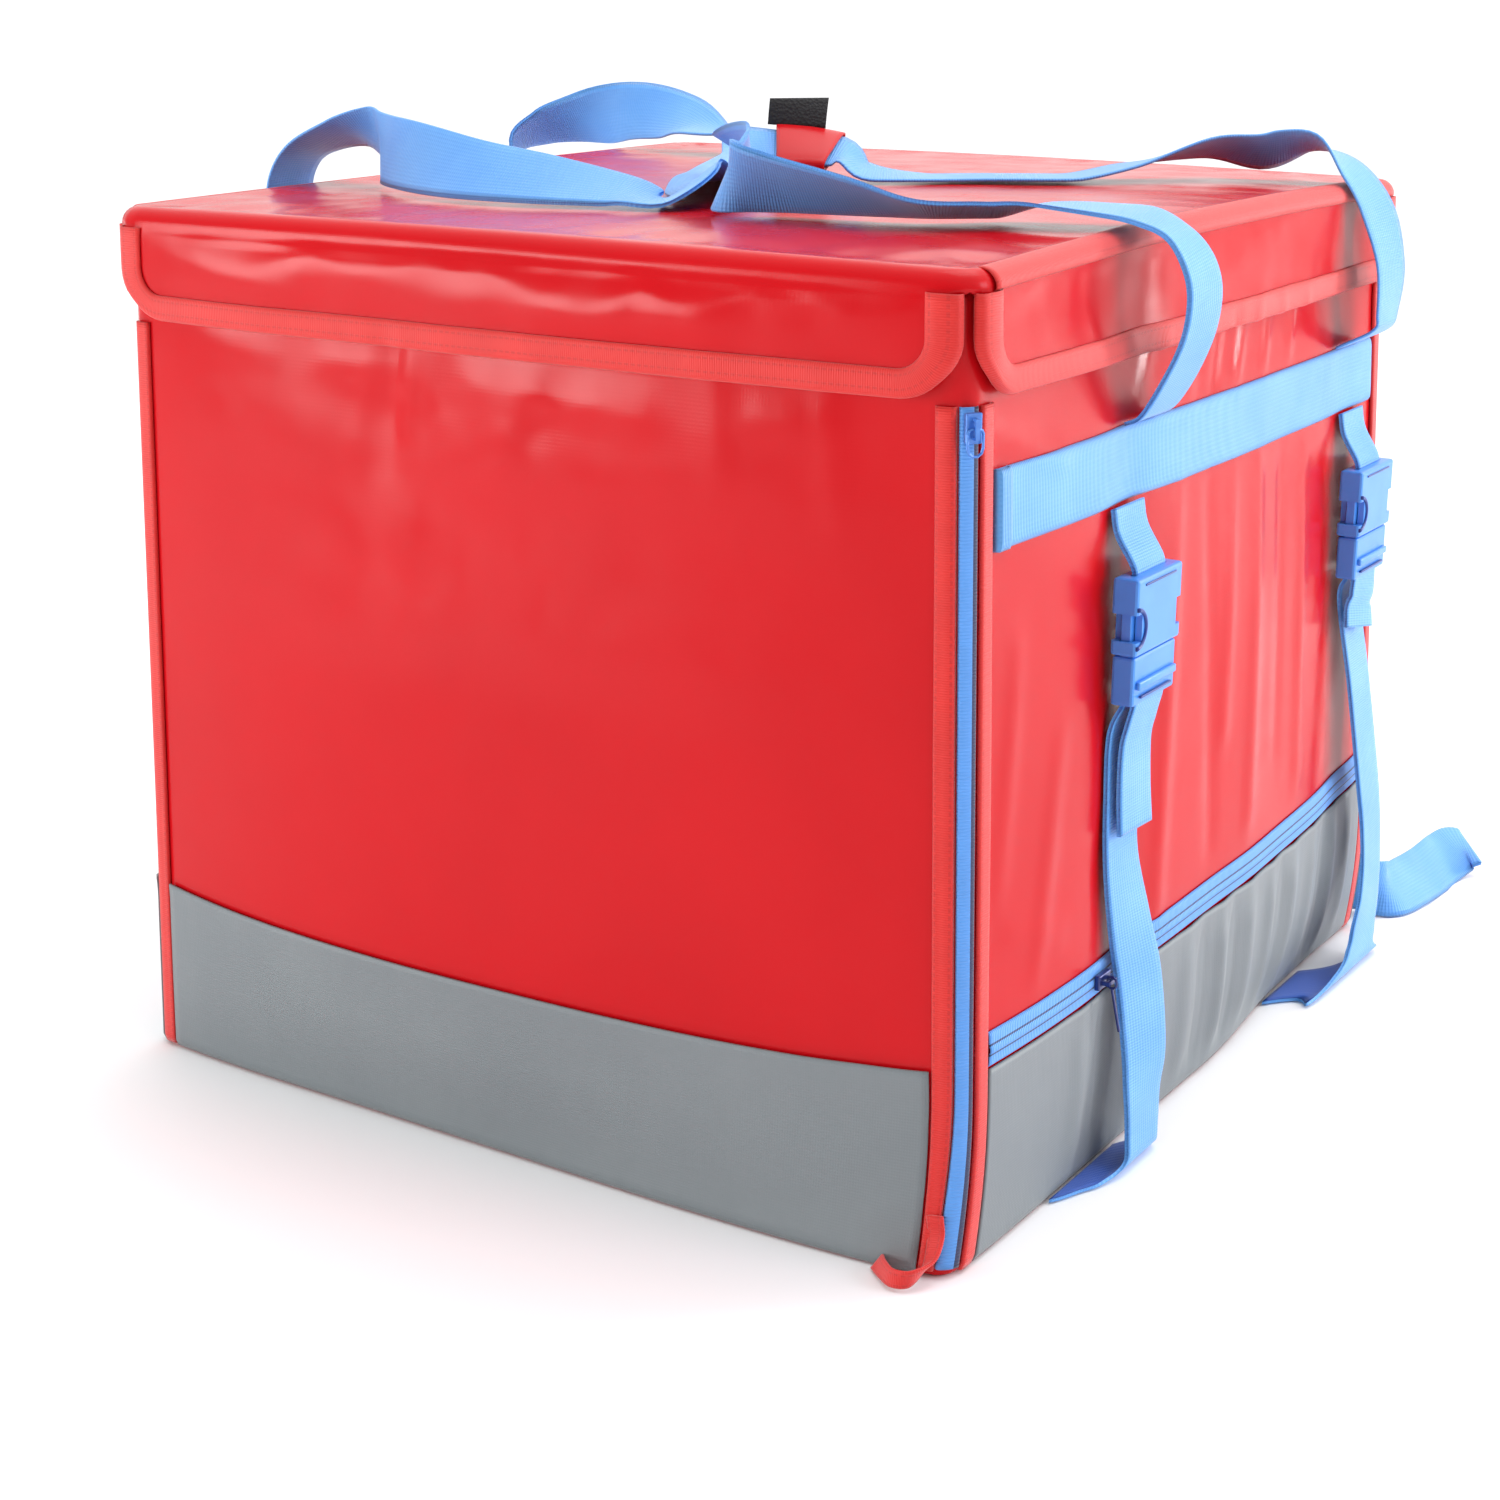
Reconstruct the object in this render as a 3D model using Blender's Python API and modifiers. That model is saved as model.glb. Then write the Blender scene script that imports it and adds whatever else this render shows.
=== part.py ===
# Insulated delivery backpack: a padded box with a lid, carrying loops and shoulder straps.
# Metres, +Z up. The origin is the middle of the base, on the floor.
# +X is out of the face that carries the shoulder straps, -Y out of the large plain panel.

import math

import bmesh
import bpy
import numpy as np
from mathutils import Matrix, Vector

# Driving dimensions of the bag
BAG_WIDTH = 0.523            # along X at the base
BAG_DEPTH = 0.560            # along Y at the base
BAG_HEIGHT = 0.475           # floor to the lid's top corners
TAPER = 0.0108               # how far each side leans in between floor and lid top
WALL = 0.009                 # padded wall: coated cloth, foam and lining
CORNER_RADIUS = 0.012        # upright corners
BASE_ROLL = 0.005            # rounding where the walls turn into the floor
LEAN_X = -0.004              # how far the soft box leans over at its top
LEAN_Y = -0.003
KICK_OUT = 0.015             # the large panel's foot pushed forward at the near corner
KICK_HEIGHT = 0.085
DRAW_IN = 0.008              # harness face's foot drawn in towards its far end
PANEL_BULGE = 0.018          # how far the large panel swells at its fullest
FIT = 0.0007                 # gap between pieces that are sewn or laid together
CLOTH_LIFT = 0.0011          # gap behind the large pieces of cloth

# Lid
SKIRT_DEPTH = 0.056
SKIRT_CORNER = 0.026         # rounding of a skirt's lower corners
SKIRT_SHARES = (-0.80, -0.53, -0.27, 0.0, 0.27, 0.53, 0.80)     # its columns along a side
SKIRT_GAP = 0.0064           # between two skirts at a corner
LID_TOP_WALL = 0.008
SKIRT_WALL = 0.003
LID_OVERHANG = 0.0065        # lid skirt's outside beyond the body's outside
LID_ROLL = 0.009             # rounding along the lid's top edges
LID_CROWN = 0.006            # rise of the lid over the middle of its harness edge

# Tapes and cloth
BINDING_WIDTH = 0.012
BINDING_THICK = 0.001
EDGE_TAPE = 0.0018           # thickness of the folded tape down the upright edges
BAND_CLOTH = 0.0012          # grey cloth of the lower part
BASE_BAND_TOP = 0.100        # grey cloth's upper edge at the panel's ends
BASE_BAND_SAG = 0.007        # how much lower that edge runs in the middle
BASE_BAND_FOOT = 0.0012      # grey cloth's lower edge
ZIP_TAPE_WIDTH = 0.0091      # what shows of the corner zip's tape
ZIP_THICK = 0.0014
BASE_ZIP_WIDTH = 0.018
BASE_ZIP_LINE = 0.106        # height of the level zip at its ends
BASE_ZIP_SAG = 0.003
BASE_ZIP_RISE = 0.009        # how much higher the zip runs at its far end

# Webbing and straps
WEBBING = 0.038
WEBBING_THICK = 0.0018
HANDLE_WEBBING = 0.040
BAND_LOW = 0.346             # lower edge of the level webbing band
BAND_NEAR_END = -0.2475      # where the band starts, from the middle of the face
BAND_FAR_END = 0.2485
BAND_HEM = 0.013             # folded end of the band
STRAP_MIDDLE = 0.047         # middle between the two shoulder straps, along Y
STRAP_SPACING = 0.321
HANDLE_MIDDLE = 0.057        # middle between a carrying loop's two legs
HANDLE_SPACING = 0.299

# Buckles
BUCKLE_WIDTH = 0.054
BUCKLE_LENGTH = 0.065
BUCKLE_THICK = 0.014
BUCKLE_TOP = 0.314           # upper end of a fastened buckle
BUCKLE_STANDOFF = 0.004      # from the face to the buckle's back
BUCKLE_SHARE = 0.60          # socket's share of the buckle's length
BUCKLE_ROUND = 0.0016
PLUG_NARROWER = 0.003        # how much narrower and thinner the plug's body is
PRONG_WIDTH = 0.0055
PRONG_REACH = 0.026
PRONG_ROOM = 0.0006          # room round the prongs inside the socket
WINDOW_DEPTH = 0.0062        # side openings of the socket
WINDOW_HEIGHT = 0.014
SLOT_DEPTH = 0.006           # how far webbing runs into a buckle
SLOT_ROOM = 0.0005
STRAP_SEAT = 0.0040          # from the buckle's back to the strap's middle
TAIL_SEAT = 0.0092           # and to the middle of the strap's loose end

# Zip sliders and pulls
SLIDER_LENGTH = 0.014
SLIDER_WIDTH = 0.008
SLIDER_THICK = 0.003
SLIDER_ROUND = 0.0007
BAIL_LENGTH = 0.0095
BAIL_WIDTH = 0.0022
BAIL_THICK = 0.0011
PULL_WIRE = 0.0014           # thickness of the pulls' wire
PULL_ROOM = 0.0006           # free room round the wire under the bail
PULL_WIDTH = 0.0076
EYE_WIDTH = 0.0050           # eye of the long pull, which hangs round its bail
EYE_LENGTH = 0.0062
EYE_LEAN = 12.0              # degrees that the long pull leans sideways and away from the face
EYE_TIP = 6.0
CORNER_PULL_LENGTH = 0.020
BASE_PULL_LENGTH = 0.032
CORNER_SLIDER_HEIGHT = 0.406
BASE_SLIDER_ACROSS = -0.144

# Grip round the carrying loops
WRAP_THICK = 0.0016
WRAP_ROOM = 0.0020           # from the webbing to the inside of the grip
WRAP_ROWS = (21, 22)         # rows of the harness loop's table between which the grip sits
WRAP_SHORTER = 0.12          # share of the way from those rows to the grip's middle left free
HOOK_TAPE = 0.011            # how far its fastening tape stands out

# Mesh columns along a side and round a corner, and rows above and below the grey cloth's edge
BODY_SHARES = (-1.0, -0.8, -0.6, -0.4, -0.2, 0.0, 0.2, 0.4, 0.6, 0.8, 1.0)
CORNER_TURNS = (1 / 3, 2 / 3)
UPPER_LEVELS = (1.0, 0.80, 0.60, 0.39, 0.19)
FOOT_LEVELS = (0.0, 0.16, 0.38, 0.66)

# Sides are numbered round the bag: their outward directions are -Y, +X, +Y and -X
FRONT, HARNESS, BACK, LEFT = 0, 1, 2, 3

# Swelling of the sides, as shares of PANEL_BULGE at shares of the body's height
BULGE_ROWS = (
    {"height": 0.00, "front": 0.50, "harness": 0.10, "back": 0.50, "left": 0.20},
    {"height": 0.12, "front": 0.80, "harness": 0.30, "back": 0.80, "left": 0.35},
    {"height": 0.28, "front": 1.00, "harness": 0.38, "back": 1.00, "left": 0.50},
    {"height": 0.50, "front": 0.92, "harness": 0.34, "back": 0.92, "left": 0.50},
    {"height": 0.75, "front": 0.58, "harness": 0.22, "back": 0.58, "left": 0.35},
    {"height": 0.92, "front": 0.34, "harness": 0.14, "back": 0.34, "left": 0.20},
    {"height": 1.00, "front": 0.16, "harness": 0.08, "back": 0.16, "left": 0.10},
)
SIDE_NAMES = ("front", "harness", "back", "left")

# Soft dents and folds: middle across (share of the half side) and up (share of the bag's
# height), reach across and up, and depth as a share of PANEL_BULGE (negative goes in)
FOLD_ROWS = (
    {"side": HARNESS, "across": -0.40, "up": 0.52, "wide": 0.11, "tall": 0.42, "depth": -0.22},
    {"side": HARNESS, "across": 0.79, "up": 0.52, "wide": 0.11, "tall": 0.42, "depth": -0.22},
    {"side": HARNESS, "across": 0.20, "up": 0.45, "wide": 0.16, "tall": 0.30, "depth": 0.14},
    {"side": FRONT, "across": -0.30, "up": 0.80, "wide": 0.14, "tall": 0.08, "depth": -0.16},
    {"side": FRONT, "across": 0.86, "up": 0.30, "wide": 0.08, "tall": 0.22, "depth": -0.12},
    {"side": BACK, "across": 0.25, "up": 0.55, "wide": 0.22, "tall": 0.24, "depth": -0.12},
    {"side": LEFT, "across": -0.20, "up": 0.50, "wide": 0.20, "tall": 0.28, "depth": -0.14},
)
SKIRT_DENT_ROWS = (
    {"side": FRONT, "across": -0.35, "up": 0.93, "wide": 0.16, "tall": 0.035, "depth": -0.06},
    {"side": FRONT, "across": 0.25, "up": 0.94, "wide": 0.20, "tall": 0.035, "depth": 0.10},
    {"side": FRONT, "across": 0.72, "up": 0.93, "wide": 0.10, "tall": 0.030, "depth": -0.06},
    {"side": HARNESS, "across": -0.42, "up": 0.93, "wide": 0.09, "tall": 0.04, "depth": -0.06},
    {"side": HARNESS, "across": 0.75, "up": 0.93, "wide": 0.09, "tall": 0.04, "depth": -0.06},
)

ROOT_LEVEL = 0.012           # level of a loop's sewn ends, just above the band

# Carrying loop on the harness side, from its near leg round to its far leg. out: share of the
# lid's half width; along: share of half the leg spacing from HANDLE_MIDDLE; level: 0 at the
# band's top edge, 1 at the lid's top, then one more for each webbing width above it.
# roll columns: direction across the webbing, from its first edge to its second.
HARNESS_LOOP_ROWS = (
    {"out": 1.008, "along": -1.034, "level": ROOT_LEVEL, "wx": 0.01, "wy": 1.00, "wz": 0.01},
    {"out": 1.022, "along": -1.035, "level": 0.068, "wx": 0.04, "wy": 1.00, "wz": 0.02},
    {"out": 1.069, "along": -1.055, "level": 0.269, "wx": 0.02, "wy": 1.00, "wz": -0.04},
    {"out": 1.107, "along": -1.075, "level": 0.504, "wx": 0.01, "wy": 1.00, "wz": -0.02},
    {"out": 1.120, "along": -1.095, "level": 0.722, "wx": 0.01, "wy": 1.00, "wz": -0.01},
    {"out": 1.106, "along": -1.106, "level": 0.888, "wx": 0.00, "wy": 1.00, "wz": 0.00},
    {"out": 1.068, "along": -1.122, "level": 1.075, "wx": -0.03, "wy": 1.00, "wz": -0.03},
    {"out": 1.010, "along": -1.141, "level": 1.269, "wx": -0.06, "wy": 1.00, "wz": 0.07},
    {"out": 0.935, "along": -1.176, "level": 1.334, "wx": -0.11, "wy": 0.99, "wz": 0.03},
    {"out": 0.826, "along": -1.255, "level": 1.377, "wx": -0.14, "wy": 0.99, "wz": -0.06},
    {"out": 0.734, "along": -1.343, "level": 1.302, "wx": -0.13, "wy": 0.96, "wz": -0.24},
    {"out": 0.628, "along": -1.443, "level": 1.300, "wx": -0.21, "wy": 0.92, "wz": -0.33},
    {"out": 0.498, "along": -1.479, "level": 1.415, "wx": -0.32, "wy": 0.77, "wz": -0.55},
    {"out": 0.342, "along": -1.497, "level": 1.525, "wx": -0.32, "wy": 0.59, "wz": -0.74},
    {"out": 0.241, "along": -1.519, "level": 1.585, "wx": -0.44, "wy": 0.24, "wz": -0.86},
    {"out": 0.192, "along": -1.436, "level": 1.573, "wx": -0.46, "wy": 0.10, "wz": -0.88},
    {"out": 0.153, "along": -1.234, "level": 1.640, "wx": -0.20, "wy": 0.03, "wz": -0.98},
    {"out": 0.064, "along": -0.931, "level": 1.650, "wx": 0.16, "wy": 0.10, "wz": -0.98},
    {"out": -0.038, "along": -0.688, "level": 1.595, "wx": 0.45, "wy": 0.25, "wz": -0.86},
    {"out": -0.131, "along": -0.461, "level": 1.553, "wx": 0.75, "wy": 0.40, "wz": -0.52},
    {"out": -0.150, "along": -0.355, "level": 1.555, "wx": 0.81, "wy": -0.06, "wz": -0.59},
    {"out": -0.117, "along": -0.274, "level": 1.571, "wx": 0.49, "wy": -0.76, "wz": -0.43},
    {"out": 0.018, "along": -0.169, "level": 1.521, "wx": 0.39, "wy": -0.86, "wz": -0.34},
    {"out": 0.081, "along": -0.145, "level": 1.248, "wx": 0.44, "wy": -0.89, "wz": -0.15},
    {"out": 0.187, "along": -0.039, "level": 1.161, "wx": 0.38, "wy": -0.92, "wz": -0.01},
    {"out": 0.304, "along": 0.106, "level": 1.141, "wx": 0.33, "wy": -0.94, "wz": 0.01},
    {"out": 0.453, "along": 0.248, "level": 1.161, "wx": 0.37, "wy": -0.93, "wz": -0.02},
    {"out": 0.564, "along": 0.431, "level": 1.345, "wx": 0.32, "wy": -0.95, "wz": -0.02},
    {"out": 0.696, "along": 0.646, "level": 1.591, "wx": 0.30, "wy": -0.90, "wz": 0.31},
    {"out": 0.796, "along": 0.783, "level": 1.531, "wx": 0.08, "wy": -0.85, "wz": 0.52},
    {"out": 0.890, "along": 0.864, "level": 1.657, "wx": 0.24, "wy": -0.91, "wz": 0.33},
    {"out": 0.975, "along": 0.913, "level": 1.261, "wx": 0.00, "wy": -1.00, "wz": -0.03},
    {"out": 1.034, "along": 0.936, "level": 0.877, "wx": -0.21, "wy": -0.97, "wz": 0.15},
    {"out": 1.073, "along": 0.939, "level": 0.542, "wx": -0.07, "wy": -0.99, "wz": 0.13},
    {"out": 1.071, "along": 0.957, "level": 0.245, "wx": 0.04, "wy": -1.00, "wz": 0.05},
    {"out": 1.058, "along": 0.958, "level": 0.128, "wx": 0.09, "wy": -0.99, "wz": 0.06},
    {"out": 1.010, "along": 0.960, "level": ROOT_LEVEL, "wx": 0.00, "wy": -1.00, "wz": 0.00},
)

# Carrying loop on the far side, from its leg near the large panel to the one at the back
SIDE_LOOP_ROWS = (
    {"out": -1.008, "along": -1.164, "level": ROOT_LEVEL, "wx": 0.00, "wy": -1.00, "wz": 0.00},
    {"out": -1.035, "along": -1.165, "level": 0.121, "wx": 0.00, "wy": -1.00, "wz": -0.02},
    {"out": -1.062, "along": -1.171, "level": 0.451, "wx": 0.01, "wy": -1.00, "wz": -0.03},
    {"out": -1.070, "along": -1.178, "level": 0.803, "wx": 0.01, "wy": -1.00, "wz": -0.02},
    {"out": -1.053, "along": -1.185, "level": 1.134, "wx": 0.00, "wy": -1.00, "wz": 0.00},
    {"out": -0.999, "along": -1.179, "level": 1.532, "wx": 0.04, "wy": -0.98, "wz": 0.18},
    {"out": -0.901, "along": -1.150, "level": 1.766, "wx": 0.02, "wy": -0.91, "wz": 0.42},
    {"out": -0.808, "along": -1.169, "level": 1.718, "wx": 0.00, "wy": -0.47, "wz": 0.88},
    {"out": -0.747, "along": -1.276, "level": 1.605, "wx": 0.02, "wy": 0.05, "wz": 1.00},
    {"out": -0.618, "along": -1.415, "level": 1.571, "wx": -0.04, "wy": 0.34, "wz": 0.94},
    {"out": -0.425, "along": -1.505, "level": 1.475, "wx": -0.05, "wy": 0.65, "wz": 0.76},
    {"out": -0.239, "along": -1.490, "level": 1.398, "wx": -0.17, "wy": 0.80, "wz": 0.57},
    {"out": -0.076, "along": -1.408, "level": 1.287, "wx": -0.24, "wy": 0.93, "wz": 0.29},
    {"out": 0.012, "along": -1.378, "level": 1.178, "wx": -0.48, "wy": 0.88, "wz": 0.04},
    {"out": 0.045, "along": -1.241, "level": 1.276, "wx": -0.61, "wy": 0.71, "wz": -0.35},
    {"out": -0.052, "along": -0.958, "level": 1.275, "wx": -0.95, "wy": 0.12, "wz": -0.29},
    {"out": -0.155, "along": -0.621, "level": 1.193, "wx": -0.89, "wy": -0.45, "wz": 0.01},
    {"out": -0.240, "along": -0.312, "level": 1.156, "wx": -0.89, "wy": -0.46, "wz": 0.00},
    {"out": -0.333, "along": 0.023, "level": 1.143, "wx": -0.90, "wy": -0.44, "wz": -0.01},
    {"out": -0.416, "along": 0.351, "level": 1.136, "wx": -0.86, "wy": -0.51, "wz": 0.00},
    {"out": -0.488, "along": 0.617, "level": 1.142, "wx": -0.61, "wy": -0.80, "wz": 0.04},
    {"out": -0.581, "along": 0.793, "level": 1.275, "wx": 0.35, "wy": -0.93, "wz": 0.14},
    {"out": -0.695, "along": 0.806, "level": 1.439, "wx": 0.22, "wy": -0.96, "wz": -0.17},
    {"out": -0.816, "along": 0.888, "level": 1.594, "wx": 0.18, "wy": -0.75, "wz": -0.64},
    {"out": -0.970, "along": 0.950, "level": 1.646, "wx": 0.01, "wy": -0.33, "wz": -0.94},
    {"out": -1.134, "along": 0.962, "level": 1.480, "wx": -0.30, "wy": 0.43, "wz": -0.85},
    {"out": -1.239, "along": 0.901, "level": 1.313, "wx": -0.31, "wy": 0.70, "wz": -0.64},
    {"out": -1.292, "along": 0.812, "level": 1.005, "wx": -0.36, "wy": 0.89, "wz": -0.27},
    {"out": -1.237, "along": 0.835, "level": 0.676, "wx": -0.37, "wy": 0.93, "wz": -0.06},
    {"out": -1.122, "along": 0.915, "level": 0.347, "wx": -0.32, "wy": 0.94, "wz": 0.09},
    {"out": -1.041, "along": 0.981, "level": 0.147, "wx": -0.16, "wy": 0.98, "wz": 0.13},
    {"out": -1.008, "along": 0.986, "level": ROOT_LEVEL, "wx": -0.01, "wy": 1.00, "wz": 0.01},
)

# Shoulder straps below their buckles. down: share of the way from the buckle to the floor;
# off: how far from the face, in webbing widths; drift: sideways, in webbing widths, towards -Y
NEAR_STRAP_ROWS = (
    {"down": 0.07, "off": 0.130, "drift": 0.13, "turn": 0.02},
    {"down": 0.21, "off": 0.118, "drift": 0.18, "turn": 0.03},
    {"down": 0.34, "off": 0.145, "drift": 0.26, "turn": 0.03},
    {"down": 0.49, "off": 0.237, "drift": 0.14, "turn": 0.16},
    {"down": 0.61, "off": 0.342, "drift": 0.04, "turn": 0.24},
    {"down": 0.76, "off": 0.470, "drift": 0.10, "turn": 0.20},
    {"down": 0.85, "off": 0.526, "drift": 0.22, "turn": 0.07},
    {"down": 0.925, "off": 0.570, "drift": 0.24, "turn": 0.03},
    {"down": 0.972, "off": 0.590, "drift": 0.30, "turn": 0.00},
    {"down": 0.991, "off": 0.470, "drift": 0.46, "turn": 0.00},
    {"down": 0.993, "off": 0.280, "drift": 0.75, "turn": 0.00},
    {"down": 0.993, "off": 0.085, "drift": 1.10, "turn": 0.00},
)
FAR_STRAP_ROWS = (
    {"down": 0.06, "off": 0.158, "drift": 0.02, "turn": -0.03},
    {"down": 0.27, "off": 0.289, "drift": -0.20, "turn": -0.03},
    {"down": 0.50, "off": 0.440, "drift": -0.33, "turn": -0.02},
    {"down": 0.63, "off": 0.500, "drift": -0.47, "turn": -0.04},
    {"down": 0.74, "off": 0.553, "drift": -0.48, "turn": -0.05},
    {"down": 0.82, "off": 0.640, "drift": -0.30, "turn": -0.05},
    {"down": 0.89, "off": 0.730, "drift": -0.03, "turn": 0.00},
    {"down": 0.93, "off": 0.790, "drift": 0.12, "turn": 0.02},
    {"down": 0.965, "off": 0.830, "drift": 0.32, "turn": 0.01},
    {"down": 0.988, "off": 0.780, "drift": 0.66, "turn": 0.00},
    {"down": 0.993, "off": 0.560, "drift": 1.15, "turn": 0.00},
    {"down": 0.993, "off": 0.085, "drift": 1.75, "turn": 0.00},
)

# Loose ends of the straps, in front of them, with the same columns
NEAR_TAIL_ROWS = (
    {"down": 0.05, "off": 0.330, "drift": 0.02, "turn": 0.00},
    {"down": 0.10, "off": 0.270, "drift": 0.06, "turn": 0.00},
    {"down": 0.19, "off": 0.260, "drift": 0.07, "turn": 0.02},
    {"down": 0.28, "off": 0.280, "drift": 0.08, "turn": 0.04},
)
FAR_TAIL_ROWS = (
    {"down": 0.05, "off": 0.380, "drift": 0.05, "turn": 0.03},
    {"down": 0.08, "off": 0.350, "drift": 0.10, "turn": 0.06},
    {"down": 0.13, "off": 0.380, "drift": 0.16, "turn": 0.08},
)

# Loose end of a strap behind the far corner, lying on the floor: places in webbing widths from
# its root at the foot of the back panel, and the direction across the webbing
FLOOR_TAIL_ROOT = 0.226      # along X
FLOOR_TAIL_ROWS = (
    {"x": 0.00, "y": 0.00, "z": 0.54, "wx": 0.00, "wy": 0.05, "wz": 1.00},
    {"x": 0.55, "y": 0.18, "z": 0.53, "wx": 0.06, "wy": -0.20, "wz": 0.98},
    {"x": 1.06, "y": 0.34, "z": 0.49, "wx": 0.05, "wy": -0.05, "wz": 0.99},
    {"x": 1.31, "y": 0.70, "z": 0.39, "wx": -0.28, "wy": 0.70, "wz": 0.62},
    {"x": 1.39, "y": 1.40, "z": 0.35, "wx": -0.35, "wy": 0.85, "wz": 0.38},
    {"x": 1.43, "y": 2.19, "z": 0.31, "wx": -0.34, "wy": 0.87, "wz": 0.35},
    {"x": 1.46, "y": 2.89, "z": 0.33, "wx": -0.46, "wy": 0.68, "wz": 0.58},
    {"x": 1.58, "y": 3.33, "z": 0.41, "wx": -0.52, "wy": 0.62, "wz": 0.58},
    {"x": 1.76, "y": 3.52, "z": 0.42, "wx": -0.57, "wy": 0.75, "wz": 0.30},
)

# Bindings down the upright edges, as arc lengths from a corner's start on their side
UPRIGHT_ROWS = (
    {"name": "front_binding_near", "side": FRONT, "end": 1, "inner": -0.0040, "outer": 0.0060,
     "foot": 0.0330},
    {"name": "front_binding_left", "side": FRONT, "end": -1, "inner": -0.0040, "outer": 0.0060,
     "foot": 0.0020},
    {"name": "harness_binding_near", "side": HARNESS, "end": -1, "inner": -0.0095,
     "outer": 0.0015, "foot": 0.0020},
    {"name": "harness_binding_far", "side": HARNESS, "end": 1, "inner": -0.0095,
     "outer": 0.0015, "foot": 0.0020},
    {"name": "rear_binding", "side": BACK, "end": 1, "inner": -0.0040, "outer": 0.0060,
     "foot": 0.0020},
)
CORNER_ZIP_START = 0.0067    # arc length of the upright zip tape past the large panel's edge
CORNER_ZIP_END = CORNER_ZIP_START + ZIP_TAPE_WIDTH
SIDE_MARGIN = 0.0102         # from a corner to the cloth and zip sewn between its bindings

# Grey cloth of each side: where it starts and ends, as arc lengths past the side's own ends
BASE_BAND_ROWS = (
    {"name": "base_band_front", "side": FRONT, "start": 0.0047, "end": -0.0047},
    {"name": "base_band_harness", "side": HARNESS, "start": 0.0102, "end": -0.0102},
    {"name": "base_band_back", "side": BACK, "start": -0.0164, "end": -0.0047},
    {"name": "base_band_left", "side": LEFT, "start": -0.0118, "end": 0.0118},
)

# Foot of the near front binding, standing on the floor in front of the panel. Places from the
# foot of the panel's corner, in webbing widths; across and up: which way its width points
FOOT_CURL_ROWS = (
    {"x": 0.03, "y": -0.03, "z": 0.80, "across": 1.0, "up": 0.0},
    {"x": 0.09, "y": -0.12, "z": 0.52, "across": 0.95, "up": 0.25},
    {"x": 0.12, "y": -0.38, "z": 0.30, "across": 0.70, "up": 0.70},
    {"x": 0.02, "y": -0.62, "z": 0.19, "across": 0.25, "up": 0.97},
    {"x": -0.20, "y": -0.66, "z": 0.15, "across": 0.0, "up": 1.0},
    {"x": -0.45, "y": -0.50, "z": 0.14, "across": 0.0, "up": 1.0},
    {"x": -0.72, "y": -0.24, "z": 0.14, "across": 0.0, "up": 1.0},
)

COLOURS = {
    "red_cloth": (0.62, 0.018, 0.022, 0.32, 0.0),
    "red_tape": (0.78, 0.040, 0.028, 0.55, 0.0),
    "grey_cloth": (0.23, 0.24, 0.245, 0.50, 0.0),
    "blue_webbing": (0.18, 0.47, 0.86, 0.70, 0.0),
    "blue_plastic": (0.14, 0.36, 0.75, 0.35, 0.0),
    "dark_tape": (0.03, 0.03, 0.03, 0.80, 0.0),
    "blue_metal": (0.06, 0.12, 0.45, 0.30, 0.6),
}


# Scene and mesh helpers

def clear_scene():
    for obj in list(bpy.data.objects):
        bpy.data.objects.remove(obj, do_unlink=True)


def make_collection(name):
    collection = bpy.data.collections.new(name)
    bpy.context.scene.collection.children.link(collection)
    return collection


def make_materials():
    made = {}
    for name, (red, green, blue, roughness, metallic) in COLOURS.items():
        material = bpy.data.materials.new(name)
        material.use_nodes = True
        shader = material.node_tree.nodes["Principled BSDF"]
        shader.inputs["Base Color"].default_value = (red, green, blue, 1.0)
        shader.inputs["Roughness"].default_value = roughness
        shader.inputs["Metallic"].default_value = metallic
        made[name] = material
    return made


def own_material(name, kind):
    material = MATERIALS[kind].copy()
    material.name = f"{name}_{kind}"
    return material


def add_object(name, mesh, kind):
    obj = bpy.data.objects.new(name, mesh)
    obj.data.materials.append(own_material(name, kind))
    PARTS.objects.link(obj)
    return obj


def grid_mesh(name, rows, closed=False, skip=None):
    """Quads between rows of points; closed joins each row's last point to its first."""
    bm = bmesh.new()
    made = [[bm.verts.new(point) for point in row] for row in rows]
    count = len(rows[0])
    for row_index, (low, high) in enumerate(zip(made, made[1:])):
        for k in range(count if closed else count - 1):
            if skip and skip(row_index, k):
                continue
            after = (k + 1) % count
            bm.faces.new((low[k], low[after], high[after], high[k]))
    mesh = bpy.data.meshes.new(name)
    bm.to_mesh(mesh)
    bm.free()
    return mesh


def solidify(obj, thickness, offset, even=False):
    wall = obj.modifiers.new("wall", "SOLIDIFY")
    wall.thickness = thickness
    wall.offset = offset
    wall.use_even_offset = even
    return wall


def face_outwards(obj, flip):
    if flip:
        obj.data.flip_normals()


def sheet(name, rows, kind, thickness, closed=False, skip=None, flip=False):
    """An open surface given its thickness on the side that its faces point to."""
    obj = add_object(name, grid_mesh(name, rows, closed, skip), kind)
    face_outwards(obj, flip)
    solidify(obj, thickness, 1.0)
    return obj


# Smooth curves through a few chosen rows

def ease(low, high, value):
    """Runs smoothly from 0 at low to 1 at high, whichever of them is larger."""
    share = min(max((value - low) / (high - low), 0.0), 1.0)
    return share * share * (3.0 - 2.0 * share)


def through(points, steps):
    """A smooth curve through the points, with that many steps between two of them."""
    points = [np.array(point, float) for point in points]
    padded = [2 * points[0] - points[1]] + points + [2 * points[-1] - points[-2]]
    curve = []
    for before, start, end, after in zip(padded, padded[1:], padded[2:], padded[3:]):
        for step in range(steps):
            t = step / steps
            curve.append(0.5 * (2 * start + (end - before) * t
                                + (2 * before - 5 * start + 4 * end - after) * t ** 2
                                + (3 * start - before - 3 * end + after) * t ** 3))
    curve.append(points[-1])
    return curve


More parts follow.
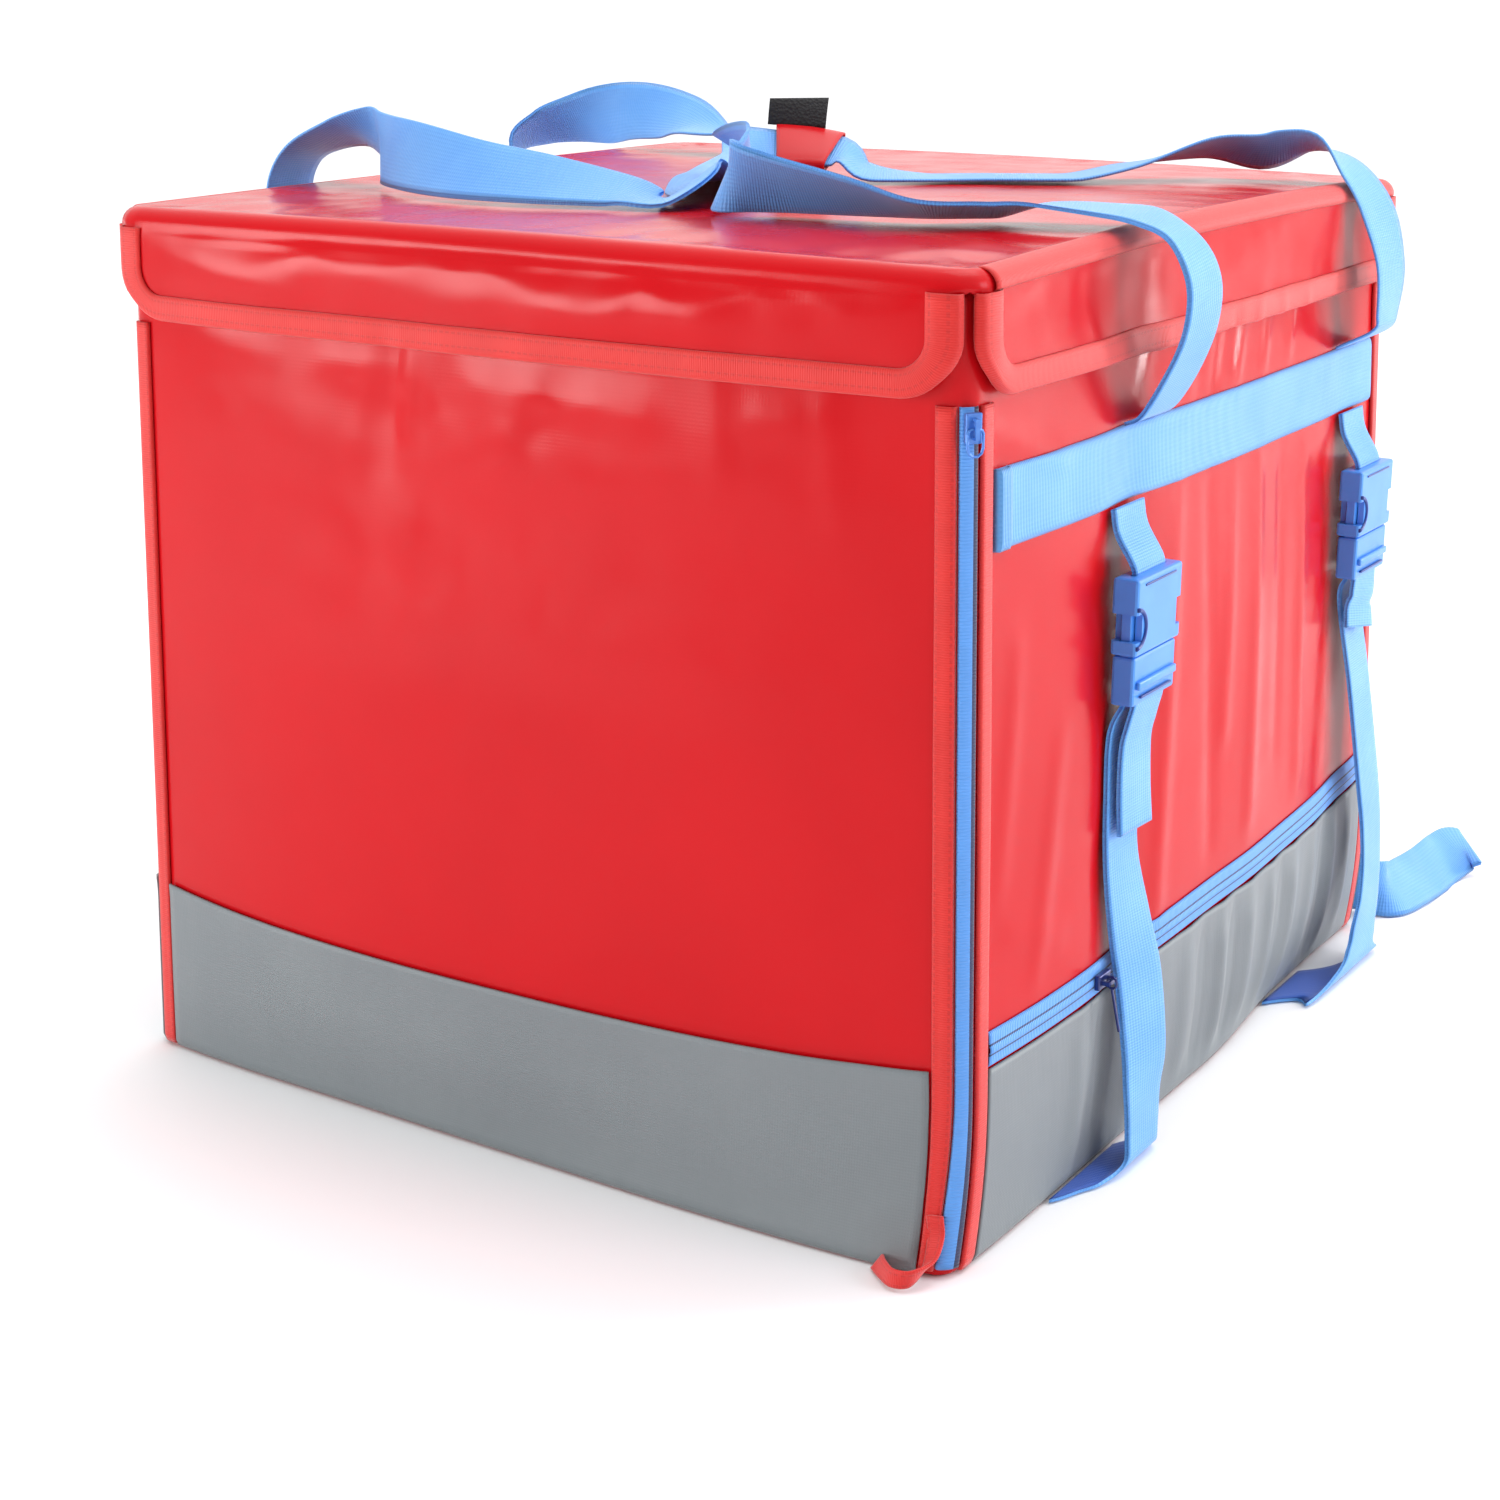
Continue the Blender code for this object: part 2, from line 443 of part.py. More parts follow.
def table_value(rows, column, key, value):
    """Reads a table's column smoothly at a value of its key column."""
    keys = [row[key] for row in rows]
    values = [row[column] for row in rows]
    for low, high, start, end in zip(keys, keys[1:], values, values[1:]):
        if value <= high:
            return start + (end - start) * ease(low, high, value)
    return values[-1]


# The bag's outer surface

def half_sizes(z):
    lean = TAPER * z / BAG_HEIGHT
    return BAG_WIDTH / 2 - lean, BAG_DEPTH / 2 - lean


def corner_arc():
    return CORNER_RADIUS * math.pi / 2


def crown(across_x, across_y):
    """Rise of the lid's top and the rim under it; none at the corners."""
    u = min(max(across_x / half_sizes(BAG_HEIGHT)[0], -1.0), 1.0)
    v = min(max(across_y / half_sizes(BAG_HEIGHT)[1], -1.0), 1.0)
    middle = (1 - v * v) * (0.55 + 0.45 * u)
    ends = 0.35 * (1 - u * u) * v * v
    return LID_CROWN * (middle + ends)


def folds(rows, side, share, z):
    total = 0.0
    for row in rows:
        if row["side"] == side:
            across = (share - row["across"]) / row["wide"]
            up = (z / BAG_HEIGHT - row["up"]) / row["tall"]
            total += row["depth"] * math.exp(-across * across - up * up)
    return total * PANEL_BULGE


def swelling(side, share, z):
    """How far the soft side stands out of its flat plane."""
    flat = max(1 - abs(share) ** 3, 0.0)
    level = min(max(z / BAG_HEIGHT, 0.0), 1.0)
    bulge = PANEL_BULGE * table_value(BULGE_ROWS, SIDE_NAMES[side], "height", level)
    return flat * (bulge + folds(FOLD_ROWS, side, share, z))


def foot_inset(z):
    """How far the wall has rolled in towards the floor at this height."""
    if z >= BASE_ROLL:
        return 0.0
    rise = (BASE_ROLL - max(z, 0.0)) / BASE_ROLL
    return BASE_ROLL * (1 - math.sqrt(max(1 - rise * rise, 0.0)))


def skin(side, share, edge, z, lift):
    """A point on a side: share of its straight part, plus an arc length past that place."""
    halves = half_sizes(z)
    half_along = halves[0] if side in (FRONT, BACK) else halves[1]
    half_out = halves[1] if side in (FRONT, BACK) else halves[0]
    straight = half_along - CORNER_RADIUS
    across = share * straight + edge
    beyond = abs(across) - straight
    if beyond > corner_arc():
        step = 1 if across > 0 else -1
        return skin((side + step) % 4, -step, step * (beyond - corner_arc()), z, lift)
    angle = max(beyond, 0.0) / CORNER_RADIUS
    sign = 1.0 if across > 0 else -1.0
    swell = swelling(side, across / straight, z) if beyond <= 0 else 0.0
    radius = CORNER_RADIUS + lift - foot_inset(z)
    if beyond <= 0:
        t, n = across, half_out + swell + lift - foot_inset(z)
    else:
        t = sign * (straight + radius * math.sin(angle))
        n = half_out - CORNER_RADIUS + radius * math.cos(angle)
    turns = ((t, -n), (n, t), (-t, n), (-n, -t))
    x, y = turns[side]
    return lean_over(x, y, z)


def lean_over(x, y, z):
    """The box's slight lean, and the large panel's foot kicked out at the near corner."""
    low = max(1 - max(z, 0.0) / KICK_HEIGHT, 0.0) ** 2
    near = ease(-0.30 * BAG_WIDTH, 0.50 * BAG_WIDTH, x)
    front = ease(-0.36 * BAG_DEPTH, -0.49 * BAG_DEPTH, y)
    kick = KICK_OUT * low * near * front
    drawn = DRAW_IN * low * ease(0.0, 0.25 * BAG_DEPTH, y) * ease(0.0, 0.45 * BAG_WIDTH, x)
    return Vector((x + LEAN_X * z / BAG_HEIGHT - drawn,
                   y + LEAN_Y * z / BAG_HEIGHT - kick, z))


def outward(side, share, edge, z):
    near = skin(side, share, edge, z, 0.0)
    far = skin(side, share, edge, z, 0.01)
    return (far - near).normalized()


def all_columns():
    """Columns round the body, each as its side, share and arc length past that share."""
    columns = []
    for side in range(4):
        columns += [(side, share, 0.0) for share in BODY_SHARES]
        columns += [(side, 1.0, corner_arc() * turn) for turn in CORNER_TURNS]
    return columns


# Body

def rim_height(x, y):
    return BAG_HEIGHT - LID_TOP_WALL - FIT + crown(x, y)


def make_body():
    columns = all_columns()
    rows = []
    for level in UPPER_LEVELS:
        row = []
        for side, share, edge in columns:
            top = skin(side, share, edge, BAG_HEIGHT - LID_TOP_WALL, 0.0)
            z = BASE_BAND_TOP + (rim_height(top.x, top.y) - BASE_BAND_TOP) * level
            row.append(skin(side, share, edge, z, 0.0))
        rows.append(row)
    for z in [BASE_BAND_TOP] + foot_heights()[::-1]:
        rows.append([skin(side, share, edge, z, 0.0) for side, share, edge in columns])
    for angle in (30.0, 60.0, 90.0):
        z = BASE_ROLL * (1 - math.sin(math.radians(angle)))
        rows.append([skin(side, share, edge, z, 0.0) for side, share, edge in columns])
    obj = add_object("body_shell", grid_mesh("body_shell", rows, closed=True), "red_cloth")
    bm = bmesh.new()
    bm.from_mesh(obj.data)
    floor_edges = [edge for edge in bm.edges if edge.is_boundary
                   and max(vert.co.z for vert in edge.verts) < BASE_ROLL / 100]
    bmesh.ops.edgeloop_fill(bm, edges=floor_edges)
    bmesh.ops.recalc_face_normals(bm, faces=bm.faces)
    bm.to_mesh(obj.data)
    bm.free()
    wall_in(obj)
    return obj


def wall_in(obj):
    """Faces point out; the wall's thickness goes to the inside."""
    lowest = min(obj.data.polygons, key=lambda face: face.center.z)
    if lowest.normal.z > 0:
        obj.data.flip_normals()
    solidify(obj, WALL, -1.0, even=True)


# Grey cloth round the lower part

def base_band_top(share):
    return BASE_BAND_TOP - BASE_BAND_SAG * (1 - abs(share) ** 2.5)


def base_zip_line(share):
    sag = BASE_ZIP_SAG * (1 - abs(share) ** 4)
    return BASE_ZIP_LINE - sag + BASE_ZIP_RISE * (share + 1) / 2


def base_zip_foot(share):
    return base_zip_line(share) - BASE_ZIP_WIDTH / 2


def foot_heights():
    return [BASE_ROLL + (BASE_BAND_TOP - BASE_ROLL) * level for level in FOOT_LEVELS]


def band_columns(start, end):
    """Columns of a side's grey cloth, at the body's own columns between its two ends."""
    turns = [corner_arc() * turn for turn in (0.0,) + CORNER_TURNS]
    columns = [(-1.0, start)] + [(-1.0, -turn) for turn in turns[::-1] if -turn > start + FIT]
    columns += [(share, 0.0) for share in BODY_SHARES[1:-1]]
    return columns + [(1.0, turn) for turn in turns if turn < end - FIT] + [(1.0, end)]


def make_base_bands():
    for band in BASE_BAND_ROWS:
        side = band["side"]
        columns = band_columns(band["start"], band["end"])
        rows = []
        for z in [BASE_BAND_FOOT, BASE_ROLL / 2] + foot_heights():
            rows.append([skin(side, share, edge, z, CLOTH_LIFT) for share, edge in columns])
        top = []
        for share, edge in columns:
            z = base_zip_foot(share) - FIT if side == HARNESS else base_band_top(share)
            top.append(skin(side, share, edge, z, CLOTH_LIFT))
        rows.append(top)
        sheet(band["name"], rows, "grey_cloth", BAND_CLOTH)


# Lid

def lid_point(side, share, edge, z, lift):
    """On the lid's skirts and over its rolled top edge; z may pass the roll's start."""
    start = BAG_HEIGHT - LID_ROLL
    inset = 0.0
    if z > start:
        rise = min((z - start) / LID_ROLL, 1.0)
        inset = LID_ROLL * (1 - math.sqrt(max(1 - rise * rise, 0.0)))
    point = skin(side, share, edge, z, lift + LID_OVERHANG - inset)
    half_along = half_sizes(z)[0 if side in (FRONT, BACK) else 1]
    across = share * (half_along - CORNER_RADIUS) + edge
    dent = folds(SKIRT_DENT_ROWS, side, across / half_along, z) * max(1 - abs(share) ** 6, 0.0)
    point += outward(side, share, edge, z) * dent
    weight = ease(BAG_HEIGHT - SKIRT_DEPTH, BAG_HEIGHT, z)
    point.z += crown(point.x, point.y) * weight
    return point


def skirt_reach():
    """Arc length from the start of a corner to where a skirt ends in it."""
    return corner_arc() / 2 - SKIRT_GAP / 2


def skirt_low(share, edge, side):
    """Height of the skirt's lower edge, which curves up near its ends."""
    straight = half_sizes(BAG_HEIGHT)[0 if side in (FRONT, BACK) else 1] - CORNER_RADIUS
    across = abs(share * straight + edge)
    past = across - (straight + skirt_reach() - SKIRT_CORNER)
    rise = 0.0
    if past > 0:
        past = min(past, SKIRT_CORNER * 0.999)
        rise = SKIRT_CORNER - math.sqrt(SKIRT_CORNER ** 2 - past ** 2)
    return BAG_HEIGHT - SKIRT_DEPTH + rise


def lid_columns():
    """Columns round the lid, with a narrow gap between two skirts at each corner."""
    columns = []
    reach = skirt_reach()
    for side in range(4):
        inner = [(-1.0, -reach), (-1.0, -reach * 0.45)]
        inner += [(-1.0, SKIRT_CORNER * share) for share in (0.08, 0.35)]
        inner += [(share, 0.0) for share in SKIRT_SHARES]
        inner += [(1.0, -SKIRT_CORNER * share) for share in (0.35, 0.08)]
        inner += [(1.0, reach * 0.45), (1.0, reach)]
        columns += [(side, share, edge) for share, edge in inner]
    return columns


def make_lid():
    columns = lid_columns()
    per_side = len(columns) // 4
    roll_start = BAG_HEIGHT - LID_ROLL
    rows = []
    for level in (0.0, 0.5, 1.0):
        row = []
        for side, share, edge in columns:
            low = skirt_low(share, edge, side)
            row.append(lid_point(side, share, edge, low + (roll_start - low) * level, 0.0))
        rows.append(row)
    for angle in (30.0, 60.0, 90.0):
        z = roll_start + LID_ROLL * math.sin(math.radians(angle))
        rows.append([lid_point(side, share, edge, z, 0.0) for side, share, edge in columns])
    rim = rows[-1]
    for shrink in (0.80, 0.45):
        ring = []
        for point in rim:
            x, y = point.x * shrink, point.y * shrink
            ring.append(Vector((x, y, BAG_HEIGHT + crown(x, y))))
        rows.append(ring)

    def corner_gap(row, k):
        return row < 2 and (k + 1) % per_side == 0

    mesh = grid_mesh("lid", rows, closed=True, skip=corner_gap)
    obj = add_object("lid", mesh, "red_cloth")
    bm = bmesh.new()
    bm.from_mesh(mesh)
    bm.verts.ensure_lookup_table()
    top_ring = {vert for vert in bm.verts if vert.index >= len(columns) * (len(rows) - 1)}
    hole = [edge for edge in bm.edges if edge.is_boundary and set(edge.verts) <= top_ring]
    bmesh.ops.edgeloop_fill(bm, edges=hole)
    bmesh.ops.recalc_face_normals(bm, faces=bm.faces)
    bm.to_mesh(mesh)
    bm.free()
    highest = max(mesh.polygons, key=lambda face: face.center.z)
    if highest.normal.z < 0:
        mesh.flip_normals()
    padded = obj.vertex_groups.new(name="padded")
    first_top = len(columns) * 5
    padded.add(list(range(first_top, len(mesh.vertices))), 1.0, "REPLACE")
    wall = solidify(obj, LID_TOP_WALL, -1.0)
    wall.vertex_group = "padded"
    wall.thickness_vertex_group = SKIRT_WALL / LID_TOP_WALL
    return obj


def skirt_edge_path(side):
    """Stations along a skirt's free edge, each with its inward direction in the cloth."""
    reach = skirt_reach()
    high = BAG_HEIGHT - LID_ROLL - 0.001
    bend = BAG_HEIGHT - SKIRT_DEPTH + SKIRT_CORNER
    stations = []
    for level in (0.0, 0.5):
        stations.append((-1.0, -reach, high + (bend - high) * level, (1.0, 0.0)))
    arc_steps = 5
    for k in range(arc_steps + 1):
        angle = math.pi / 2 * k / arc_steps
        along = -reach + SKIRT_CORNER * (1 - math.cos(angle))
        z = bend - SKIRT_CORNER * math.sin(angle)
        stations.append((-1.0, along, z, (math.cos(angle), math.sin(angle))))
    low = BAG_HEIGHT - SKIRT_DEPTH
    for share in SKIRT_SHARES:
        stations.append((share, 0.0, low, (0.0, 1.0)))
    mirrored = [(-share, -edge, z, (-inx, inz)) for share, edge, z, (inx, inz) in stations[:8]]
    return stations + mirrored[::-1]


def make_lid_bindings():
    for side in range(4):
        rows = []
        for share, edge, z, (inx, inz) in skirt_edge_path(side):
            row = []
            profile = ((BINDING_WIDTH, FIT), (BINDING_WIDTH / 2, 1.6 * FIT), (0.0, 1.3 * FIT),
                       (-2.3 * FIT, -SKIRT_WALL / 2),
                       (0.0, -SKIRT_WALL - FIT), (BINDING_WIDTH * 0.7, -SKIRT_WALL - FIT))
            for inward, lift in profile:
                row.append(lid_point(side, share, edge + inx * inward, z + inz * inward, lift))
            rows.append(row)
        obj = sheet(f"lid_binding_{SIDE_NAMES[side]}", rows, "red_tape", BINDING_THICK)
        obj.modifiers["wall"].use_even_offset = True


# Upright edge tapes

def edge_heights(top, foot):
    """Heights down an upright edge, at the body's own rows below the grey cloth's edge."""
    heights = [top + (BASE_BAND_TOP - top) * k / 9 for k in range(10)]
    heights += [z for z in foot_heights()[::-1] if z > foot + FIT]
    return heights + [foot]


def make_upright_tapes():
    top = BAG_HEIGHT - SKIRT_DEPTH - 0.004
    for row in UPRIGHT_ROWS:
        side, end, name = row["side"], row["end"], row["name"]
        rows = []
        for z in edge_heights(top, row["foot"]):
            edges = (row["inner"], (row["inner"] + row["outer"]) / 2, row["outer"])
            rows.append([skin(side, end, end * edge, z, FIT) for edge in edges])
        sheet(name, rows, "red_tape", EDGE_TAPE, flip=(end > 0))


def make_foot_curl():
    """The near front binding's foot, which has sprung away from the panel."""
    corner = skin(FRONT, 1, 0.0, 0.0, 0.0)
    centres, across = [], []
    for row in FOOT_CURL_ROWS:
        centres.append((corner.x + row["x"] * WEBBING, corner.y + row["y"] * WEBBING,
                        row["z"] * WEBBING))
        across.append((row["across"], 0.0, row["up"]))
    width = UPRIGHT_ROWS[0]["outer"] - UPRIGHT_ROWS[0]["inner"]
    ribbon("front_binding_foot", ribbon_edges(centres, across, width), "red_tape", EDGE_TAPE)


# Zips

def make_corner_zip():
    top = BAG_HEIGHT - SKIRT_DEPTH - 0.004
    rows = []
    for z in edge_heights(top, BASE_ROLL):
        row = []
        for share in (0.0, 0.5, 1.0):
            edge = CORNER_ZIP_START + (CORNER_ZIP_END - CORNER_ZIP_START) * share
            row.append(skin(FRONT, 1, edge, z, FIT))
        rows.append(row)
    sheet("corner_zip_tape", rows, "blue_webbing", ZIP_THICK, flip=True)


def make_base_zip():
    rows = []
    for level in (-0.5, 0.0, 0.5):
        row = []
        for share, edge in band_columns(SIDE_MARGIN, -SIDE_MARGIN):
            z = base_zip_line(share) + BASE_ZIP_WIDTH * level
            row.append(skin(HARNESS, share, edge, z, FIT))
        rows.append(row)
    sheet("base_zip_tape", rows, "blue_webbing", ZIP_THICK)


# Zip sliders and their pulls, built round a frame: across the zip, along it and out of it

def box_mesh(name, low, high, rounding=0.0, segments=1):
    bm = bmesh.new()
    made = bmesh.ops.create_cube(bm, size=1.0)
    for vert in made["verts"]:
        vert.co = Vector([a + (b - a) * (c + 0.5) for a, b, c in zip(low, high, vert.co)])
    if rounding:
        bmesh.ops.bevel(bm, geom=list(bm.edges), offset=rounding, segments=segments,
                        profile=0.5, affect="EDGES", clamp_overlap=True)
    mesh = bpy.data.meshes.new(name)
    bm.to_mesh(mesh)
    bm.free()
    return mesh


def frame_matrix(origin, across, along, out):
    matrix = Matrix((across, along, out)).transposed().to_4x4()
    matrix.translation = origin
    return matrix


def cutter(name, mesh, matrix):
    mesh.transform(matrix)
    obj = bpy.data.objects.new(name, mesh)
    CUTTERS.objects.link(obj)
    obj.hide_render = True
    obj.display_type = "WIRE"
    return obj


def combine(obj, other, operation):
    change = obj.modifiers.new(other.name, "BOOLEAN")
    change.operation = operation
    change.solver = "EXACT"
    change.object = other


def wire_mesh(name, points, thickness, sides=8):
    """A closed loop of round wire through points of one plane."""
    points = [Vector(point) for point in points]
    normal = (points[1] - points[0]).cross(points[len(points) // 2] - points[0]).normalized()
    rings = []
    for k, point in enumerate(points):
        ahead = (points[(k + 1) % len(points)] - points[k - 1]).normalized()
        side = normal.cross(ahead)
        ring = []
        for n in range(sides):
            angle = 2 * math.pi * n / sides
            ring.append(point + (side * math.cos(angle) + normal * math.sin(angle))
                        * thickness / 2)
        rings.append(ring)
    rings.append(rings[0])
    mesh = grid_mesh(name, rings, closed=True)
    bm = bmesh.new()
    bm.from_mesh(mesh)
    bmesh.ops.remove_doubles(bm, verts=bm.verts, dist=0.00001)
    bmesh.ops.recalc_face_normals(bm, faces=bm.faces)
    bm.to_mesh(mesh)
    bm.free()
    return mesh


def rounded_loop(width, length, steps=5):
    """Points round a loop with half-round ends; its upper end's middle line is at 0."""
    radius = width / 2
    points = []
    for k in range(steps + 1):
        angle = math.pi * k / steps
        points.append((radius * math.cos(angle), radius * math.sin(angle)))
    for k in range(steps + 1):
        angle = math.pi * (1 + k / steps)
        points.append((radius * math.cos(angle), radius * math.sin(angle) - length + width))
    return points


def make_slider(name, origin, across, along, out, bail_room):
    """The slider's body with a bail over it; bail_room is the free height under the bail."""
    frame = frame_matrix(origin, across, along, out)
    body = box_mesh(name, (-SLIDER_WIDTH / 2, -SLIDER_LENGTH / 2, 0.0),
                    (SLIDER_WIDTH / 2, SLIDER_LENGTH / 2, SLIDER_THICK), SLIDER_ROUND, 2)
    body.transform(frame)
    obj = add_object(name, body, "blue_metal")
    outer = box_mesh(name + "_bail", (-BAIL_WIDTH / 2, -BAIL_LENGTH / 2, SLIDER_THICK / 2),
                     (BAIL_WIDTH / 2, BAIL_LENGTH / 2, SLIDER_THICK + bail_room + BAIL_THICK))
    inner = box_mesh(name + "_window", (-BAIL_WIDTH, -BAIL_LENGTH / 2 + BAIL_THICK, SLIDER_THICK),
                     (BAIL_WIDTH, BAIL_LENGTH / 2 - BAIL_THICK, SLIDER_THICK + bail_room))
    combine(obj, cutter(name + "_bail", outer, frame), "UNION")
    combine(obj, cutter(name + "_window", inner, frame), "DIFFERENCE")
    return frame


def make_corner_slider():
    edge = (CORNER_ZIP_START + CORNER_ZIP_END) / 2
    height = CORNER_SLIDER_HEIGHT
    origin = skin(FRONT, 1, edge, height, FIT + ZIP_THICK + FIT)
    out = outward(FRONT, 1, edge, height)
    along = skin(FRONT, 1, edge, height + 0.01, 0.0) - skin(FRONT, 1, edge, height - 0.01, 0.0)
    along = (along - out * along.dot(out)).normalized()
    across = along.cross(out)
    room = PULL_WIRE + 2 * PULL_ROOM
    frame = make_slider("corner_zip_slider", origin, across, along, out, room)
    width, length = PULL_WIDTH, CORNER_PULL_LENGTH
    corner = width * 0.28
    outline = [(-width / 2 + corner, 0.0), (width / 2 - corner, 0.0)]
    outline += [(width / 2 - corner * 0.3, -corner * 0.3), (width / 2, -corner)]
    lower = rounded_loop(width, length)[6:]
    outline += [(-x, y + width / 2) for x, y in lower]
    outline += [(-width / 2, -corner), (-width / 2 + corner * 0.3, -corner * 0.3)]
    level = SLIDER_THICK + room / 2
    mesh = wire_mesh("corner_zip_pull", [(x, y, level) for x, y in outline], PULL_WIRE)
    mesh.transform(frame)
    add_object("corner_zip_pull", mesh, "blue_metal")


def make_base_slider():
    share = BASE_SLIDER_ACROSS / (BAG_DEPTH / 2 - CORNER_RADIUS)
    height = base_zip_line(share)
    origin = skin(HARNESS, share, 0.0, height, FIT + ZIP_THICK + FIT)
    out = Vector((1.0, 0.0, 0.0))
    along = Vector((0.0, 1.0, 0.0))
    across = Vector((0.0, 0.0, -1.0))
    room = EYE_WIDTH / 2 - BAIL_THICK / 2 + PULL_WIRE / 2 + PULL_ROOM
    frame = make_slider("base_zip_slider", origin, across, along, out, room)
    axis = SLIDER_THICK + room + BAIL_THICK / 2
    outline = [(-y, 0.0, axis + x) for x, y in rounded_loop(EYE_WIDTH, EYE_LENGTH)]
    mesh = wire_mesh("base_zip_pull", outline, PULL_WIRE)
    mesh.transform(frame)
    pull = add_object("base_zip_pull", mesh, "blue_metal")
    half = PULL_WIRE / 2
    bar = box_mesh("base_zip_pull_bar", (-half, -half, -half),
                   (BASE_PULL_LENGTH - EYE_LENGTH, half, half), half / 2)
    hang = Matrix.Translation((EYE_LENGTH - EYE_WIDTH / 2, 0.0, axis))
    hang @= Matrix.Rotation(math.radians(EYE_LEAN), 4, "Z")
    hang @= Matrix.Rotation(math.radians(-EYE_TIP), 4, "Y")
    combine(pull, cutter("base_zip_pull_bar", bar, frame @ hang), "UNION")


# Level webbing bands

def band_points(side, start, end, lift):
    """Two rows of points along a band, at the body's own columns between its ends."""
    straight = half_sizes(BAND_LOW)[1] - CORNER_RADIUS
    shares = [share for share in BODY_SHARES if start + FIT < share * straight < end - FIT]
    shares = [start / straight] + shares + [end / straight]
    return [[skin(side, share, 0.0, z, lift) for share in shares]
            for z in (BAND_LOW, BAND_LOW + WEBBING)]


def make_bands():
    sheet("harness_band", band_points(HARNESS, BAND_NEAR_END, BAND_FAR_END, FIT),
          "blue_webbing", WEBBING_THICK)
    sheet("side_band", band_points(LEFT, -BAND_FAR_END, BAND_FAR_END, FIT),
          "blue_webbing", WEBBING_THICK)
    hem = band_points(HARNESS, BAND_NEAR_END, BAND_NEAR_END + BAND_HEM,
                      FIT + WEBBING_THICK + FIT / 2)
    sheet("band_hem", hem, "blue_webbing", WEBBING_THICK * 0.6)


# Ribbons of webbing

def ribbon_edges(centres, across, width, steps=2, square=True):
    """Both edges of webbing through the given places, flat across the given directions, with
    its ends and folds square to its length or else along those directions."""
    places = [Vector(point) for point in through(centres, steps)]
    widths = [Vector(point) for point in through(across, steps)]
    first, second = [], []
    for k, (place, direction) in enumerate(zip(places, widths)):
        before = places[max(k - 1, 0)]
        after = places[min(k + 1, len(places) - 1)]
        tangent = (after - before).normalized()
        upright = direction - tangent * direction.dot(tangent)
        flat = upright.normalized() if square else direction.normalized()
        reach = width / 2 if square else width / 2 * direction.length / upright.length
        first.append(place - flat * reach)
        second.append(place + flat * reach)
    return first, second


def ribbon(name, edges, kind="blue_webbing", thickness=WEBBING_THICK):
    obj = add_object(name, grid_mesh(name, edges), kind)
    solidify(obj, thickness, 0.0)
    return obj


def clear_out(y, z, sign, room):
    """How far out a loop's leg stands with that room to the face or skirt behind it."""
    straight = half_sizes(z)[1] - CORNER_RADIUS
    side = HARNESS if sign > 0 else LEFT
    lift = room + WEBBING_THICK / 2
    if z > BAG_HEIGHT - SKIRT_DEPTH - HANDLE_WEBBING / 4:
        lift += LID_OVERHANG + FIT + BINDING_THICK
    places = [y + HANDLE_WEBBING * share for share in (-0.6, -0.3, 0.0, 0.3, 0.6)]
    return max(sign * skin(side, sign * place / straight, 0.0, z, lift).x for place in places)


def loop_centres(rows):
    band_top = BAND_LOW + WEBBING
    centres, across = [], []
    half_out = half_sizes(BAG_HEIGHT)[0] + LID_OVERHANG
    for row in rows:
        y = HANDLE_MIDDLE + row["along"] * HANDLE_SPACING / 2
        if row["level"] <= 1.0:
            z = band_top + row["level"] * (BAG_HEIGHT - band_top)
        else:
            z = BAG_HEIGHT + (row["level"] - 1.0) * WEBBING
        x = row["out"] * half_out
        sign = math.copysign(1.0, row["out"])
        if row["level"] == ROOT_LEVEL:
            x = sign * clear_out(y, z, sign, FIT)
        elif row["level"] <= 1.0 and abs(row["out"]) >= 1.0:
            x = sign * max(abs(x), clear_out(y, z, sign, 2 * FIT))
        centres.append((x, y, z))
        across.append((row["wx"], row["wy"], row["wz"]))
    return centres, across


def loop_edges(rows, steps=2):
    """Both edges of a carrying loop, kept above the lid where it lies on it."""
    edges = ribbon_edges(*loop_centres(rows), HANDLE_WEBBING, steps)
    reach = half_sizes(BAG_HEIGHT)[0] - CORNER_RADIUS
    for point in edges[0] + edges[1]:
        if abs(point.x) < reach:
            lid_top = BAG_HEIGHT + crown(point.x, point.y)
            point.z = max(point.z, lid_top + 2 * FIT + WEBBING_THICK / 2)
    return edges


def make_handle_loops():
    ribbon("handle_loop_harness", loop_edges(HARNESS_LOOP_ROWS))
    ribbon("handle_loop_side", loop_edges(SIDE_LOOP_ROWS))


